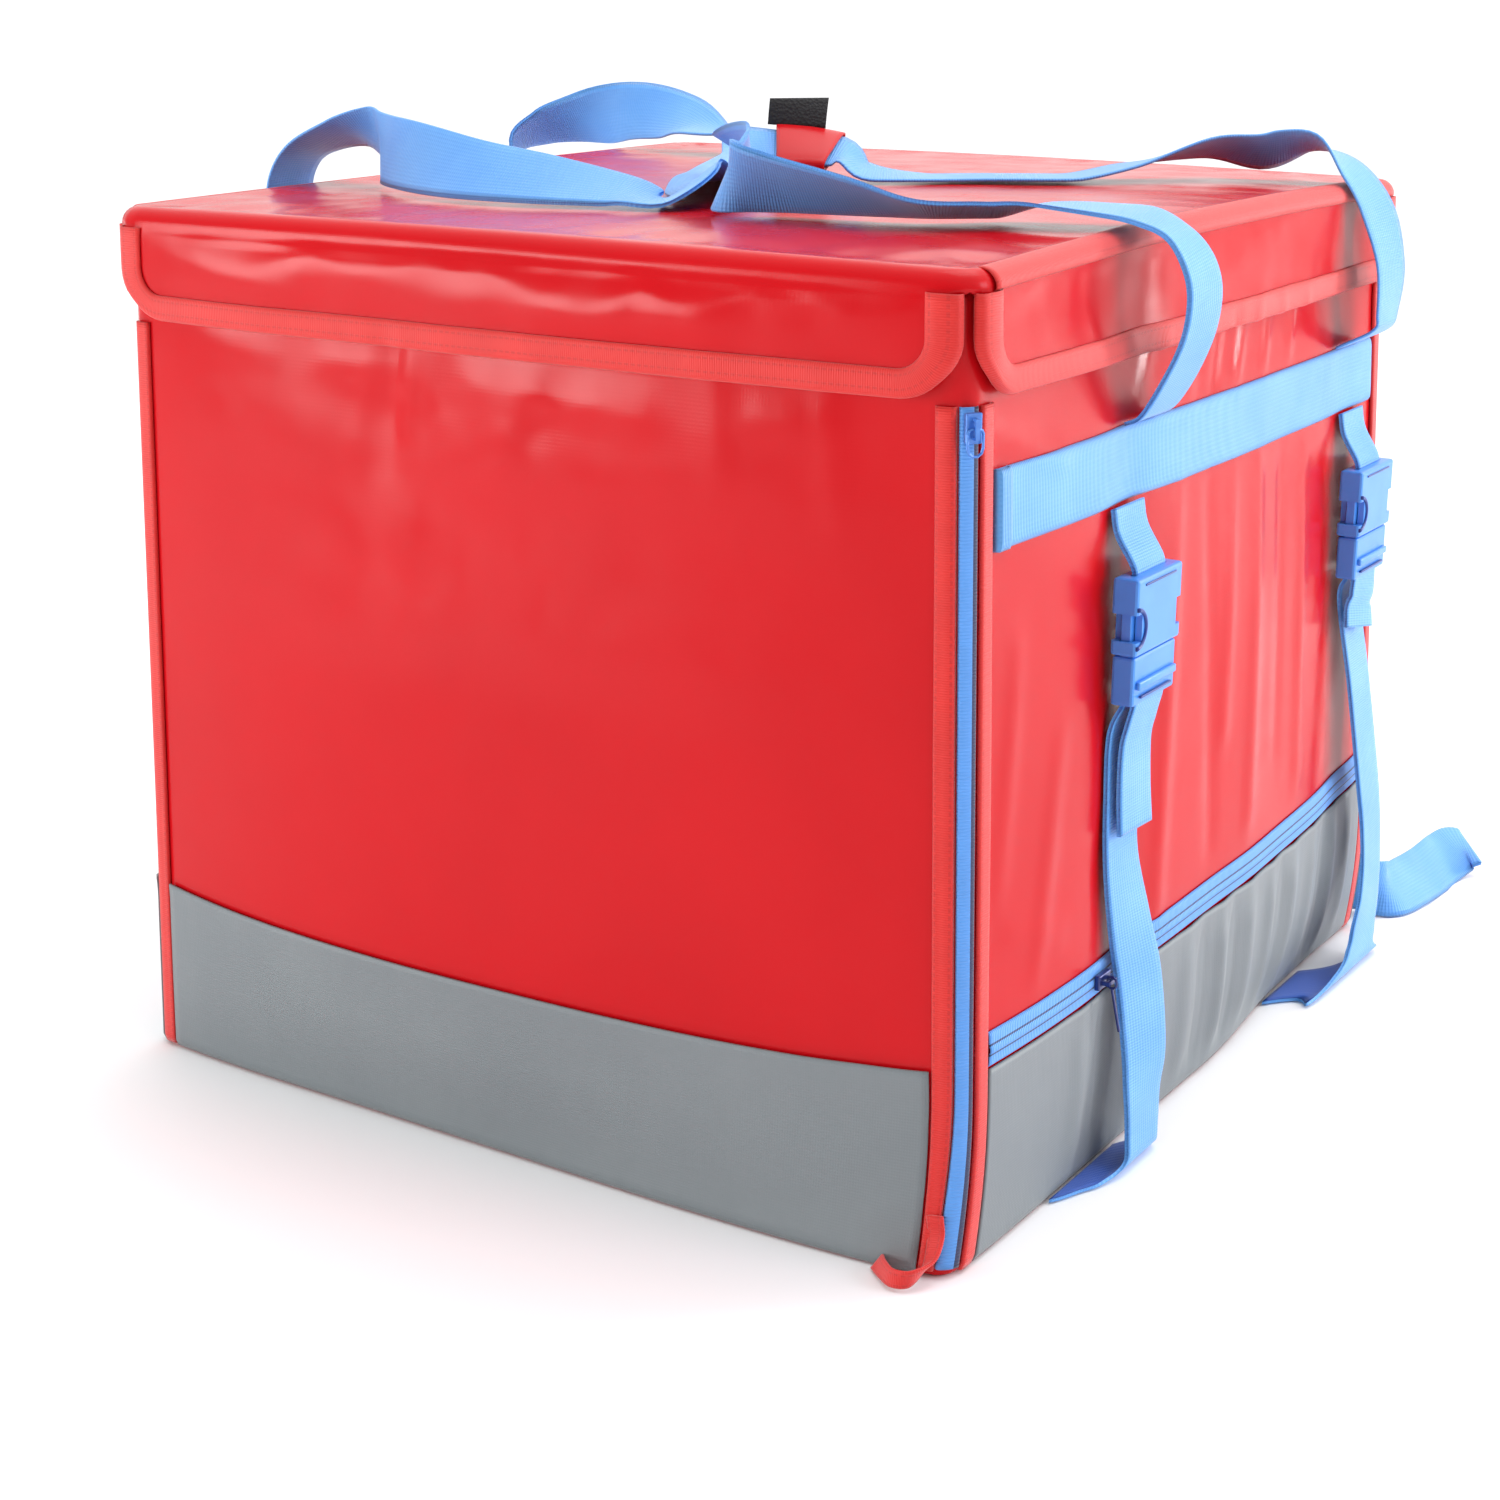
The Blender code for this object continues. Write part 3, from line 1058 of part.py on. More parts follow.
def make_grip():
    """A padded sleeve round the harness loop, with its fastening tape standing open."""
    steps = 2
    edges = loop_edges(HARNESS_LOOP_ROWS, steps)
    first, last = (row * steps for row in WRAP_ROWS)
    places = [(edges[0][k] + edges[1][k]) / 2 for k in range(first, last + 1)]
    flats = [(edges[1][k] - edges[0][k]).normalized() for k in range(first, last + 1)]
    places[0] = places[0].lerp(places[1], WRAP_SHORTER)
    places[-1] = places[-1].lerp(places[1], WRAP_SHORTER)
    along = (places[-1] - places[0]).normalized()
    half_width = HANDLE_WEBBING / 2 + WRAP_ROOM
    rings = []
    for grow, stations in ((WRAP_THICK, (0, 1, 2)), (0.0, (2, 1, 0))):
        for station in stations:
            flat = flats[station]
            face = flat.cross(along).normalized()
            ring = []
            for k in range(12):
                angle = 2 * math.pi * k / 12
                wide = math.copysign(abs(math.cos(angle)) ** 0.45, math.cos(angle))
                deep = math.copysign(abs(math.sin(angle)) ** 0.70, math.sin(angle))
                ring.append(places[station] + flat * wide * (half_width + grow)
                            + face * deep * (WEBBING_THICK / 2 + WRAP_ROOM + grow))
            rings.append(ring)
    rings.append(rings[0])
    mesh = grid_mesh("handle_wrap", rings, closed=True)
    bm = bmesh.new()
    bm.from_mesh(mesh)
    bmesh.ops.remove_doubles(bm, verts=bm.verts, dist=0.00001)
    bmesh.ops.recalc_face_normals(bm, faces=bm.faces)
    bm.to_mesh(mesh)
    bm.free()
    add_object("handle_wrap", mesh, "red_cloth")
    edge = half_width + WRAP_THICK + FIT
    rows = []
    flat = flats[1]
    face = flat.cross(along).normalized()
    for reach, rise in ((0.0, 0.0), (0.5, 0.10), (1.0, -0.10)):
        row = []
        for share in (-0.25, 0.1, 0.45, 0.75):
            stand = HOOK_TAPE * reach * (0.75 + 0.4 * share)
            row.append(places[0].lerp(places[-1], share) - flat * (edge + stand)
                       + face * (0.002 + HOOK_TAPE * rise))
        rows.append(row)
    sheet("wrap_hook_tape", rows, "dark_tape", WRAP_THICK * 0.7)


# Shoulder straps with their buckles

def face_x(y, z):
    """Outside of the harness face at a place."""
    straight = half_sizes(z)[1] - CORNER_RADIUS
    return skin(HARNESS, y / straight, 0.0, z, 0.0).x


def clear_x(y, z):
    """The outermost place of the face behind webbing that crosses it here."""
    return max(face_x(y + WEBBING * share, z) for share in (-0.6, -0.3, 0.0, 0.3, 0.6))


def strap_y(sign):
    return STRAP_MIDDLE + sign * STRAP_SPACING / 2


def buckle_back(y):
    """Where a buckle's flat back stands: clear of the fullest place behind it."""
    heights = [BUCKLE_TOP - BUCKLE_LENGTH * k / 4 for k in range(5)]
    return max(clear_x(y, z) for z in heights) + BUCKLE_STANDOFF


def strap_centres(rows, y_top, z_top, seat):
    x_seat = buckle_back(y_top) + seat
    centres = [(x_seat, y_top, z_top + SLOT_DEPTH * share) for share in (0.8, 0.3, -0.3)]
    across = [(0.0, 1.0, 0.0)] * 3
    for row in rows:
        z = z_top * (1 - row["down"])
        y = y_top - row["drift"] * WEBBING
        x = face_x(y, max(z, BASE_ROLL)) + row["off"] * WEBBING
        centres.append((x, y, z))
        across.append((row["turn"], 1.0, 0.0))
    return centres, across


def make_shoulder_straps():
    z_top = BUCKLE_TOP - BUCKLE_LENGTH
    for name, rows, sign in (("near", NEAR_STRAP_ROWS, -1), ("far", FAR_STRAP_ROWS, 1)):
        centres, across = strap_centres(rows, strap_y(sign), z_top, STRAP_SEAT)
        edges = ribbon_edges(centres, across, WEBBING, square=False)
        ribbon(f"shoulder_strap_{name}", edges)


def make_strap_tails():
    """Loose ends that come out of the buckles in front of the straps."""
    z_top = BUCKLE_TOP - BUCKLE_LENGTH
    for name, rows, sign in (("near", NEAR_TAIL_ROWS, -1), ("far", FAR_TAIL_ROWS, 1)):
        centres, across = strap_centres(rows, strap_y(sign), z_top, TAIL_SEAT)
        ribbon(f"strap_tail_{name}", ribbon_edges(centres, across, WEBBING))


def make_buckle_webbing():
    for name, sign in (("near", -1), ("far", 1)):
        y = strap_y(sign)
        back = buckle_back(y)
        start = BAND_LOW - FIT
        drop = start - BUCKLE_TOP
        lift = 2 * FIT + WEBBING_THICK / 2
        centres = [(clear_x(y, start) + lift, y, start),
                   (clear_x(y, start - drop * 0.4) + 2 * lift, y, start - drop * 0.4),
                   (back + BUCKLE_THICK / 2 - 0.001, y, BUCKLE_TOP + drop * 0.12),
                   (back + BUCKLE_THICK / 2, y, BUCKLE_TOP - SLOT_DEPTH * 0.8)]
        edges = ribbon_edges(centres, [(0.0, 1.0, 0.0)] * 4, WEBBING)
        ribbon(f"buckle_webbing_{name}", edges)


def make_buckles():
    """Fastened buckles: a socket with side openings, and a plug whose prongs reach into it."""
    split = BUCKLE_TOP - BUCKLE_LENGTH * BUCKLE_SHARE
    low = BUCKLE_TOP - BUCKLE_LENGTH
    half = BUCKLE_WIDTH / 2
    slot = WEBBING / 2 + SLOT_ROOM
    slot_thick = WEBBING_THICK / 2 + SLOT_ROOM
    middle = BUCKLE_THICK / 2
    prong = BUCKLE_THICK * 0.2
    for name, sign in (("near", -1), ("far", 1)):
        y = strap_y(sign)
        frame = Matrix.Translation((buckle_back(y), y, 0.0))
        socket_name = f"buckle_socket_{name}"
        mesh = box_mesh(socket_name, (0.0, -half, split), (BUCKLE_THICK, half, BUCKLE_TOP),
                        BUCKLE_ROUND, 2)
        mesh.transform(frame)
        socket = add_object(socket_name, mesh, "blue_plastic")
        inside = half - PRONG_WIDTH / 2
        cuts = {
            "slot": ((middle - slot_thick, -slot, BUCKLE_TOP - SLOT_DEPTH),
                     (middle + slot_thick, slot, BUCKLE_TOP + SLOT_DEPTH)),
            "cavity": ((middle - prong - PRONG_ROOM, -inside - PRONG_ROOM, split - SLOT_DEPTH),
                       (middle + prong + PRONG_ROOM, inside + PRONG_ROOM,
                        split + PRONG_REACH + PRONG_ROOM)),
            "window_a": ((-SLOT_DEPTH, -half - SLOT_DEPTH, split + PRONG_REACH * 0.28),
                         (2 * BUCKLE_THICK, -half + WINDOW_DEPTH,
                          split + PRONG_REACH * 0.28 + WINDOW_HEIGHT)),
            "window_b": ((-SLOT_DEPTH, half - WINDOW_DEPTH, split + PRONG_REACH * 0.28),
                         (2 * BUCKLE_THICK, half + SLOT_DEPTH,
                          split + PRONG_REACH * 0.28 + WINDOW_HEIGHT)),
        }
        for cut, (corner, opposite) in cuts.items():
            cut_name = f"{socket_name}_{cut}"
            combine(socket, cutter(cut_name, box_mesh(cut_name, corner, opposite), frame),
                    "DIFFERENCE")
        plug_name = f"buckle_plug_{name}"
        narrow = half - PLUG_NARROWER / 2
        mesh = box_mesh(plug_name, (PLUG_NARROWER * 0.2, -narrow, low),
                        (BUCKLE_THICK - PLUG_NARROWER * 0.4, narrow, split - FIT),
                        BUCKLE_ROUND, 2)
        mesh.transform(frame)
        plug = add_object(plug_name, mesh, "blue_plastic")
        for letter, side in (("a", -1), ("b", 1)):
            edges = sorted((side * inside, side * (inside - PRONG_WIDTH)))
            arm_name = f"{plug_name}_prong_{letter}"
            arm = box_mesh(arm_name, (middle - prong, edges[0], low + SLOT_DEPTH * 2),
                           (middle + prong, edges[1], split + PRONG_REACH), BUCKLE_ROUND / 3)
            combine(plug, cutter(arm_name, arm, frame), "UNION")
        for seat_name, seat in (("strap", STRAP_SEAT), ("tail", TAIL_SEAT)):
            cut_name = f"{plug_name}_{seat_name}_slot"
            hole = box_mesh(cut_name, (seat - slot_thick, -slot, low - SLOT_DEPTH),
                            (seat + slot_thick, slot, low + SLOT_DEPTH))
            combine(plug, cutter(cut_name, hole, frame), "DIFFERENCE")


def make_floor_tail():
    share = -FLOOR_TAIL_ROOT / (BAG_WIDTH / 2 - CORNER_RADIUS)
    root = skin(BACK, share, 0.0, WEBBING * 0.54, FIT + BAND_CLOTH + WEBBING_THICK)
    centres, across = [], []
    for row in FLOOR_TAIL_ROWS:
        centres.append((root.x + row["x"] * WEBBING, root.y + row["y"] * WEBBING,
                        row["z"] * WEBBING))
        across.append((row["wx"], row["wy"], row["wz"]))
    ribbon("floor_tail_strap", ribbon_edges(centres, across, WEBBING))


def make_lid_edge_tapes():
    """Tape folded over the lid's top edge on two sides."""
    start = BAG_HEIGHT - LID_ROLL
    for side in (HARNESS, LEFT):
        rows = []
        for share in (-1.0,) + SKIRT_SHARES + (1.0,):
            row = [lid_point(side, share, 0.0, start - 0.001, FIT)]
            for angle in (25.0, 55.0, 85.0):
                z = start + LID_ROLL * math.sin(math.radians(angle))
                row.append(lid_point(side, share, 0.0, z, FIT))
            rows.append(row)
        sheet(f"lid_edge_tape_{SIDE_NAMES[side]}", rows, "red_tape", BINDING_THICK, flip=True)


def main():
    make_body()
    make_base_bands()
    make_lid()
    make_lid_bindings()
    make_lid_edge_tapes()
    make_upright_tapes()
    make_foot_curl()
    make_corner_zip()
    make_base_zip()
    make_corner_slider()
    make_base_slider()
    make_bands()
    make_handle_loops()
    make_grip()
    make_buckle_webbing()
    make_buckles()
    make_shoulder_straps()
    make_strap_tails()
    make_floor_tail()


clear_scene()
PARTS = make_collection("insulated_delivery_backpack")
CUTTERS = make_collection("cutters")
MATERIALS = make_materials()
main()
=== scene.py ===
import math

import bmesh
import bpy
from mathutils import Matrix, Vector, noise


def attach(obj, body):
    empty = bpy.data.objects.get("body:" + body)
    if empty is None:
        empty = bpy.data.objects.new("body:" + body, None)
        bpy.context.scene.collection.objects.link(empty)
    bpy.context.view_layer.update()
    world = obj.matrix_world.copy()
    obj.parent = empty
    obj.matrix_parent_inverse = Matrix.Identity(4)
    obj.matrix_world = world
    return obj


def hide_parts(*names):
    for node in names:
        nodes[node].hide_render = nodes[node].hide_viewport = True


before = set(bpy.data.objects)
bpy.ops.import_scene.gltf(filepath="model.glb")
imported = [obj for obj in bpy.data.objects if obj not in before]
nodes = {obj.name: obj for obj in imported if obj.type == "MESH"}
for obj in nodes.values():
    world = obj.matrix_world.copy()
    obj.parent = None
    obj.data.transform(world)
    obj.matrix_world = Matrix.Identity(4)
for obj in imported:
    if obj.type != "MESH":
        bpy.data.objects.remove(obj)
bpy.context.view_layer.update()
print("frame loaded")

# sizes shared by the pieces, in metres
bag = {
    "width": 0.523, "depth": 0.560, "height": 0.475, "taper": 0.0108, "corner": 0.012,
    "roll": 0.005, "leanX": -0.004, "leanY": -0.003, "kickOut": 0.015, "kickHeight": 0.085,
    "drawIn": 0.008, "bulge": 0.018, "fit": 0.0007, "clothLift": 0.0011,
    "skirtDepth": 0.056, "skirtCorner": 0.026, "skirtGap": 0.0064, "overhang": 0.0065,
    "lidWall": 0.008, "lidRoll": 0.009, "lidCrown": 0.006,
    "webbing": 0.038, "webbingThick": 0.0018, "handleWebbing": 0.040,
    "bandLow": 0.346, "bandTop": 0.384,
}
front, harness, back, left = 0, 1, 2, 3
sideNames = ("front", "harness", "back", "left")

# swelling of the four sides at shares of the height
bulgeTable = (
    (0.00, 0.50, 0.10, 0.50, 0.20), (0.12, 0.80, 0.30, 0.80, 0.35),
    (0.28, 1.00, 0.38, 1.00, 0.50), (0.50, 0.92, 0.34, 0.92, 0.50),
    (0.75, 0.58, 0.22, 0.58, 0.35), (0.92, 0.34, 0.14, 0.34, 0.20),
    (1.00, 0.16, 0.08, 0.16, 0.10),
)
# side, place across and up, reach across and up, depth as a share of the bulge
foldTable = (
    (harness, -0.40, 0.52, 0.11, 0.42, -0.22), (harness, 0.79, 0.52, 0.11, 0.42, -0.22),
    (harness, 0.20, 0.45, 0.16, 0.30, 0.14), (front, -0.30, 0.80, 0.14, 0.08, -0.16),
    (front, 0.86, 0.30, 0.08, 0.22, -0.12), (back, 0.25, 0.55, 0.22, 0.24, -0.12),
    (left, -0.20, 0.50, 0.20, 0.28, -0.14),
)
# creases: side, from across and up, to across and up, half width in metres, rise in metres
creaseTable = (
    (front, -0.33, 0.885, -0.38, 0.770, 0.0075, 0.0007),
    (front, -0.27, 0.885, -0.29, 0.760, 0.0056, -0.0006),
    (front, -0.22, 0.885, -0.23, 0.775, 0.0069, 0.0007), (front, -0.12, 0.885, 0.02, 0.800, 0.0125, 0.0007),
    (front, 0.10, 0.885, 0.02, 0.790, 0.0100, 0.0006), (front, 0.20, 0.870, 0.05, 0.780, 0.0088, -0.0004),
    (front, 0.50, 0.885, 0.52, 0.800, 0.0100, 0.0007), (front, 0.76, 0.885, 0.78, 0.760, 0.0088, 0.0007),
    (front, -0.43, 0.853, -0.28, 0.850, 0.0090, 0.0012), (front, 0.00, 0.850, 0.33, 0.837, 0.0100, 0.0013),
    (front, 0.64, 0.845, 0.72, 0.843, 0.0100, 0.0010), (front, -0.80, 0.862, -0.63, 0.858, 0.0080, 0.0007),
    (front, -0.23, 0.870, -0.245, 0.800, 0.0042, 0.0010),
    (front, -0.18, 0.875, -0.18, 0.830, 0.0042, 0.0008),
    (front, -0.62, 0.885, -0.66, 0.800, 0.0112, 0.0005), (front, 0.05, 0.66, 0.14, 0.57, 0.0225, 0.0006),
    (front, 0.93, 0.400, 0.985, 0.380, 0.0050, 0.0005), (front, 0.88, 0.300, 0.98, 0.290, 0.0056, 0.0006),
    (front, 0.90, 0.262, 0.985, 0.248, 0.0044, 0.0005), (front, 0.91, 0.520, 0.985, 0.545, 0.0063, 0.0004),
    (front, 0.87, 0.130, 0.98, 0.150, 0.0050, 0.0006), (front, 0.88, 0.050, 0.98, 0.075, 0.0063, 0.0006),
    (front, -0.97, 0.550, -0.88, 0.520, 0.0075, 0.0004),
    (front, -0.97, 0.300, -0.86, 0.330, 0.0075, 0.0004),
    (harness, -0.30, 0.885, -0.34, 0.840, 0.0050, 0.0013),
    (harness, -0.10, 0.885, -0.12, 0.830, 0.0055, 0.0014),
    (harness, 0.04, 0.885, 0.00, 0.825, 0.0050, -0.0012),
    (harness, 0.16, 0.885, 0.12, 0.825, 0.0055, 0.0016),
    (harness, 0.30, 0.885, 0.27, 0.825, 0.0050, 0.0013),
    (harness, 0.44, 0.885, 0.42, 0.830, 0.0045, 0.0012),
    (harness, -0.18, 0.700, -0.26, 0.260, 0.0090, 0.0016),
    (harness, -0.02, 0.700, 0.00, 0.300, 0.0080, -0.0012),
    (harness, 0.10, 0.700, 0.06, 0.420, 0.0070, 0.0013),
    (harness, 0.24, 0.690, 0.20, 0.300, 0.0090, 0.0017),
    (harness, 0.38, 0.690, 0.36, 0.360, 0.0070, -0.0010),
    (harness, 0.52, 0.680, 0.50, 0.300, 0.0080, 0.0014),
    (harness, -0.86, 0.620, -0.92, 0.400, 0.0080, 0.0012),
    (harness, -0.70, 0.500, -0.78, 0.280, 0.0080, 0.0011),
    (harness, -0.92, 0.840, -0.72, 0.800, 0.0070, 0.0012),
    (harness, -0.88, 0.330, -0.70, 0.300, 0.0060, 0.0010),
    (back, -0.40, 0.880, -0.35, 0.740, 0.0070, 0.0013), (back, 0.15, 0.880, 0.20, 0.760, 0.0080, 0.0012),
    (back, 0.60, 0.880, 0.52, 0.770, 0.0070, 0.0012), (back, -0.90, 0.500, -0.70, 0.540, 0.0080, 0.0010),
    (left, -0.55, 0.880, -0.50, 0.830, 0.0060, 0.0012), (left, 0.30, 0.700, 0.36, 0.350, 0.0090, 0.0013),
    (left, -0.20, 0.700, -0.16, 0.420, 0.0080, -0.0010), (left, 0.62, 0.690, 0.58, 0.300, 0.0090, 0.0013),
)
skirtDents = (
    (front, -0.35, 0.93, 0.16, 0.035, -0.06), (front, 0.25, 0.94, 0.20, 0.035, 0.10),
    (front, 0.72, 0.93, 0.10, 0.030, -0.06), (harness, -0.42, 0.93, 0.09, 0.04, -0.06),
    (harness, 0.75, 0.93, 0.09, 0.04, -0.06),
)


def ease(low, high, value):
    share = min(max((value - low) / (high - low), 0.0), 1.0)
    return share * share * (3.0 - 2.0 * share)


def halfSizes(z):
    lean = bag["taper"] * z / bag["height"]
    return bag["width"] / 2 - lean, bag["depth"] / 2 - lean


def cornerArc():
    return bag["corner"] * math.pi / 2


def crown(x, y):
    halfX, halfY = halfSizes(bag["height"])
    u, v = min(max(x / halfX, -1.0), 1.0), min(max(y / halfY, -1.0), 1.0)
    return bag["lidCrown"] * ((1 - v * v) * (0.55 + 0.45 * u) + 0.35 * (1 - u * u) * v * v)


def folds(table, side, share, z):
    total = 0.0
    for foldSide, across, up, wide, tall, depth in table:
        if foldSide == side:
            a, b = (share - across) / wide, (z / bag["height"] - up) / tall
            total += depth * math.exp(-a * a - b * b)
    return total * bag["bulge"]


def creases(side, share, z):
    along = halfSizes(0.0)[0 if side in (front, back) else 1]
    total = 0.0
    for creaseSide, fromX, fromZ, toX, toZ, wide, rise in creaseTable:
        if creaseSide != side or abs(share * along - (fromX + toX) / 2 * along) > 0.09:
            continue
        startX, startZ = fromX * along, fromZ * bag["height"]
        runX, runZ = toX * along - startX, toZ * bag["height"] - startZ
        length = math.hypot(runX, runZ)
        offX, offZ = share * along - startX, z - startZ
        place = (offX * runX + offZ * runZ) / length
        off = (offX * runZ - offZ * runX) / length
        past = max(-place, place - length, 0.0)
        fade = 0.35 + 0.65 * math.sin(math.pi * min(max(place / length, 0.0), 1.0) * 0.5 + 0.8)
        total += rise * fade * math.exp(-(off / wide) ** 2 - (past / wide / 1.6) ** 2)
    broad = noise.noise(Vector((share * 2.1 + side * 5.0, z / 0.16, 0.7)))
    return total + 0.0012 * broad


def swelling(side, share, z):
    level = min(max(z / bag["height"], 0.0), 1.0)
    column = 1 + side
    value = bulgeTable[-1][column]
    for low, high in zip(bulgeTable, bulgeTable[1:]):
        if level <= high[0]:
            value = low[column] + (high[column] - low[column]) * ease(low[0], high[0], level)
            break
    flat = max(1 - abs(share) ** 3, 0.0)
    flatter = max(1 - abs(share) ** 24, 0.0)
    return (flat * (bag["bulge"] * value + folds(foldTable, side, share, z))
            + flatter * creases(side, share, z))


def footInset(z):
    if z >= bag["roll"]:
        return 0.0
    rise = (bag["roll"] - max(z, 0.0)) / bag["roll"]
    return bag["roll"] * (1 - math.sqrt(max(1 - rise * rise, 0.0)))


def leanOver(x, y, z):
    low = max(1 - max(z, 0.0) / bag["kickHeight"], 0.0) ** 2
    near = ease(-0.30 * bag["width"], 0.50 * bag["width"], x)
    kick = bag["kickOut"] * low * near * ease(-0.36 * bag["depth"], -0.49 * bag["depth"], y)
    drawn = bag["drawIn"] * low * ease(0.0, 0.25 * bag["depth"], y)
    drawn *= ease(0.0, 0.45 * bag["width"], x)
    return Vector((x + bag["leanX"] * z / bag["height"] - drawn,
                   y + bag["leanY"] * z / bag["height"] - kick, z))


# a point on a side: share of its straight part, then an arc length past that place
def skin(side, share, edge, z, lift):
    halves = halfSizes(z)
    halfAlong, halfOut = (halves[0], halves[1]) if side in (front, back) else halves[::-1]
    straight = halfAlong - bag["corner"]
    across = share * straight + edge
    beyond = abs(across) - straight
    if beyond > cornerArc():
        step = 1 if across > 0 else -1
        return skin((side + step) % 4, -step, step * (beyond - cornerArc()), z, lift)
    if beyond <= 0:
        along = across
        out = halfOut + swelling(side, across / straight, z) + lift - footInset(z)
    else:
        angle = beyond / bag["corner"]
        radius = bag["corner"] + lift - footInset(z)
        along = math.copysign(straight + radius * math.sin(angle), across)
        out = halfOut - bag["corner"] + radius * math.cos(angle)
    x, y = ((along, -out), (out, along), (-along, out), (-out, -along))[side]
    return leanOver(x, y, z)


def outward(side, share, edge, z):
    return (skin(side, share, edge, z, 0.01) - skin(side, share, edge, z, 0.0)).normalized()


def faceX(y, z):
    return skin(harness, y / (halfSizes(z)[1] - bag["corner"]), 0.0, z, 0.0).x


def clearX(y, z):
    return max(faceX(y + bag["webbing"] * share, z) for share in (-0.6, -0.3, 0.0, 0.3, 0.6))


# smooth curve through a few points, with that many steps between two of them
def through(points, steps):
    points = [Vector(point) for point in points]
    padded = [points[0] * 2 - points[1]] + points + [points[-1] * 2 - points[-2]]
    curve = []
    for p0, p1, p2, p3 in zip(padded, padded[1:], padded[2:], padded[3:]):
        for step in range(steps):
            t = step / steps
            curve.append((p1 * 2 + (p2 - p0) * t + (p0 * 2 - p1 * 5 + p2 * 4 - p3) * t * t
                          + (p1 * 3 - p0 - p2 * 3 + p3) * t ** 3) / 2)
    return curve + [points[-1]]


print("shapes ready")

harnessLoopRoute = (  # out, along, level, wx, wy, wz
    (1.008, -1.034, 0.012, 0.01, 1.00, 0.01),
    (1.022, -1.035, 0.068, 0.04, 1.00, 0.02),
    (1.069, -1.055, 0.269, 0.02, 1.00, -0.04),
    (1.107, -1.075, 0.504, 0.01, 1.00, -0.02),
    (1.120, -1.095, 0.722, 0.01, 1.00, -0.01),
    (1.106, -1.106, 0.888, 0.00, 1.00, 0.00),
    (1.068, -1.122, 1.075, -0.03, 1.00, -0.03),
    (1.010, -1.141, 1.269, -0.06, 1.00, 0.07),
    (0.935, -1.176, 1.334, -0.11, 0.99, 0.03),
    (0.826, -1.255, 1.377, -0.14, 0.99, -0.06),
    (0.734, -1.343, 1.302, -0.13, 0.96, -0.24),
    (0.628, -1.443, 1.300, -0.21, 0.92, -0.33),
    (0.498, -1.479, 1.415, -0.32, 0.77, -0.55),
    (0.342, -1.497, 1.525, -0.32, 0.59, -0.74),
    (0.241, -1.519, 1.585, -0.44, 0.24, -0.86),
    (0.192, -1.436, 1.573, -0.46, 0.10, -0.88),
    (0.153, -1.234, 1.640, -0.20, 0.03, -0.98),
    (0.064, -0.931, 1.650, 0.16, 0.10, -0.98),
    (-0.038, -0.688, 1.595, 0.45, 0.25, -0.86),
    (-0.131, -0.461, 1.553, 0.75, 0.40, -0.52),
    (-0.150, -0.355, 1.555, 0.81, -0.06, -0.59),
    (-0.117, -0.274, 1.571, 0.49, -0.76, -0.43),
    (0.018, -0.169, 1.521, 0.39, -0.86, -0.34),
    (0.081, -0.145, 1.248, 0.44, -0.89, -0.15),
    (0.187, -0.039, 1.161, 0.38, -0.92, -0.01),
    (0.304, 0.106, 1.141, 0.33, -0.94, 0.01),
    (0.453, 0.248, 1.161, 0.37, -0.93, -0.02),
    (0.564, 0.431, 1.345, 0.32, -0.95, -0.02),
    (0.696, 0.646, 1.591, 0.30, -0.90, 0.31),
    (0.796, 0.783, 1.531, 0.08, -0.85, 0.52),
    (0.890, 0.864, 1.657, 0.24, -0.91, 0.33),
    (0.975, 0.913, 1.261, 0.00, -1.00, -0.03),
    (1.034, 0.936, 0.877, -0.21, -0.97, 0.15),
    (1.073, 0.939, 0.542, -0.07, -0.99, 0.13),
    (1.071, 0.957, 0.245, 0.04, -1.00, 0.05),
    (1.058, 0.958, 0.128, 0.09, -0.99, 0.06),
    (1.010, 0.960, 0.012, 0.00, -1.00, 0.00),
)
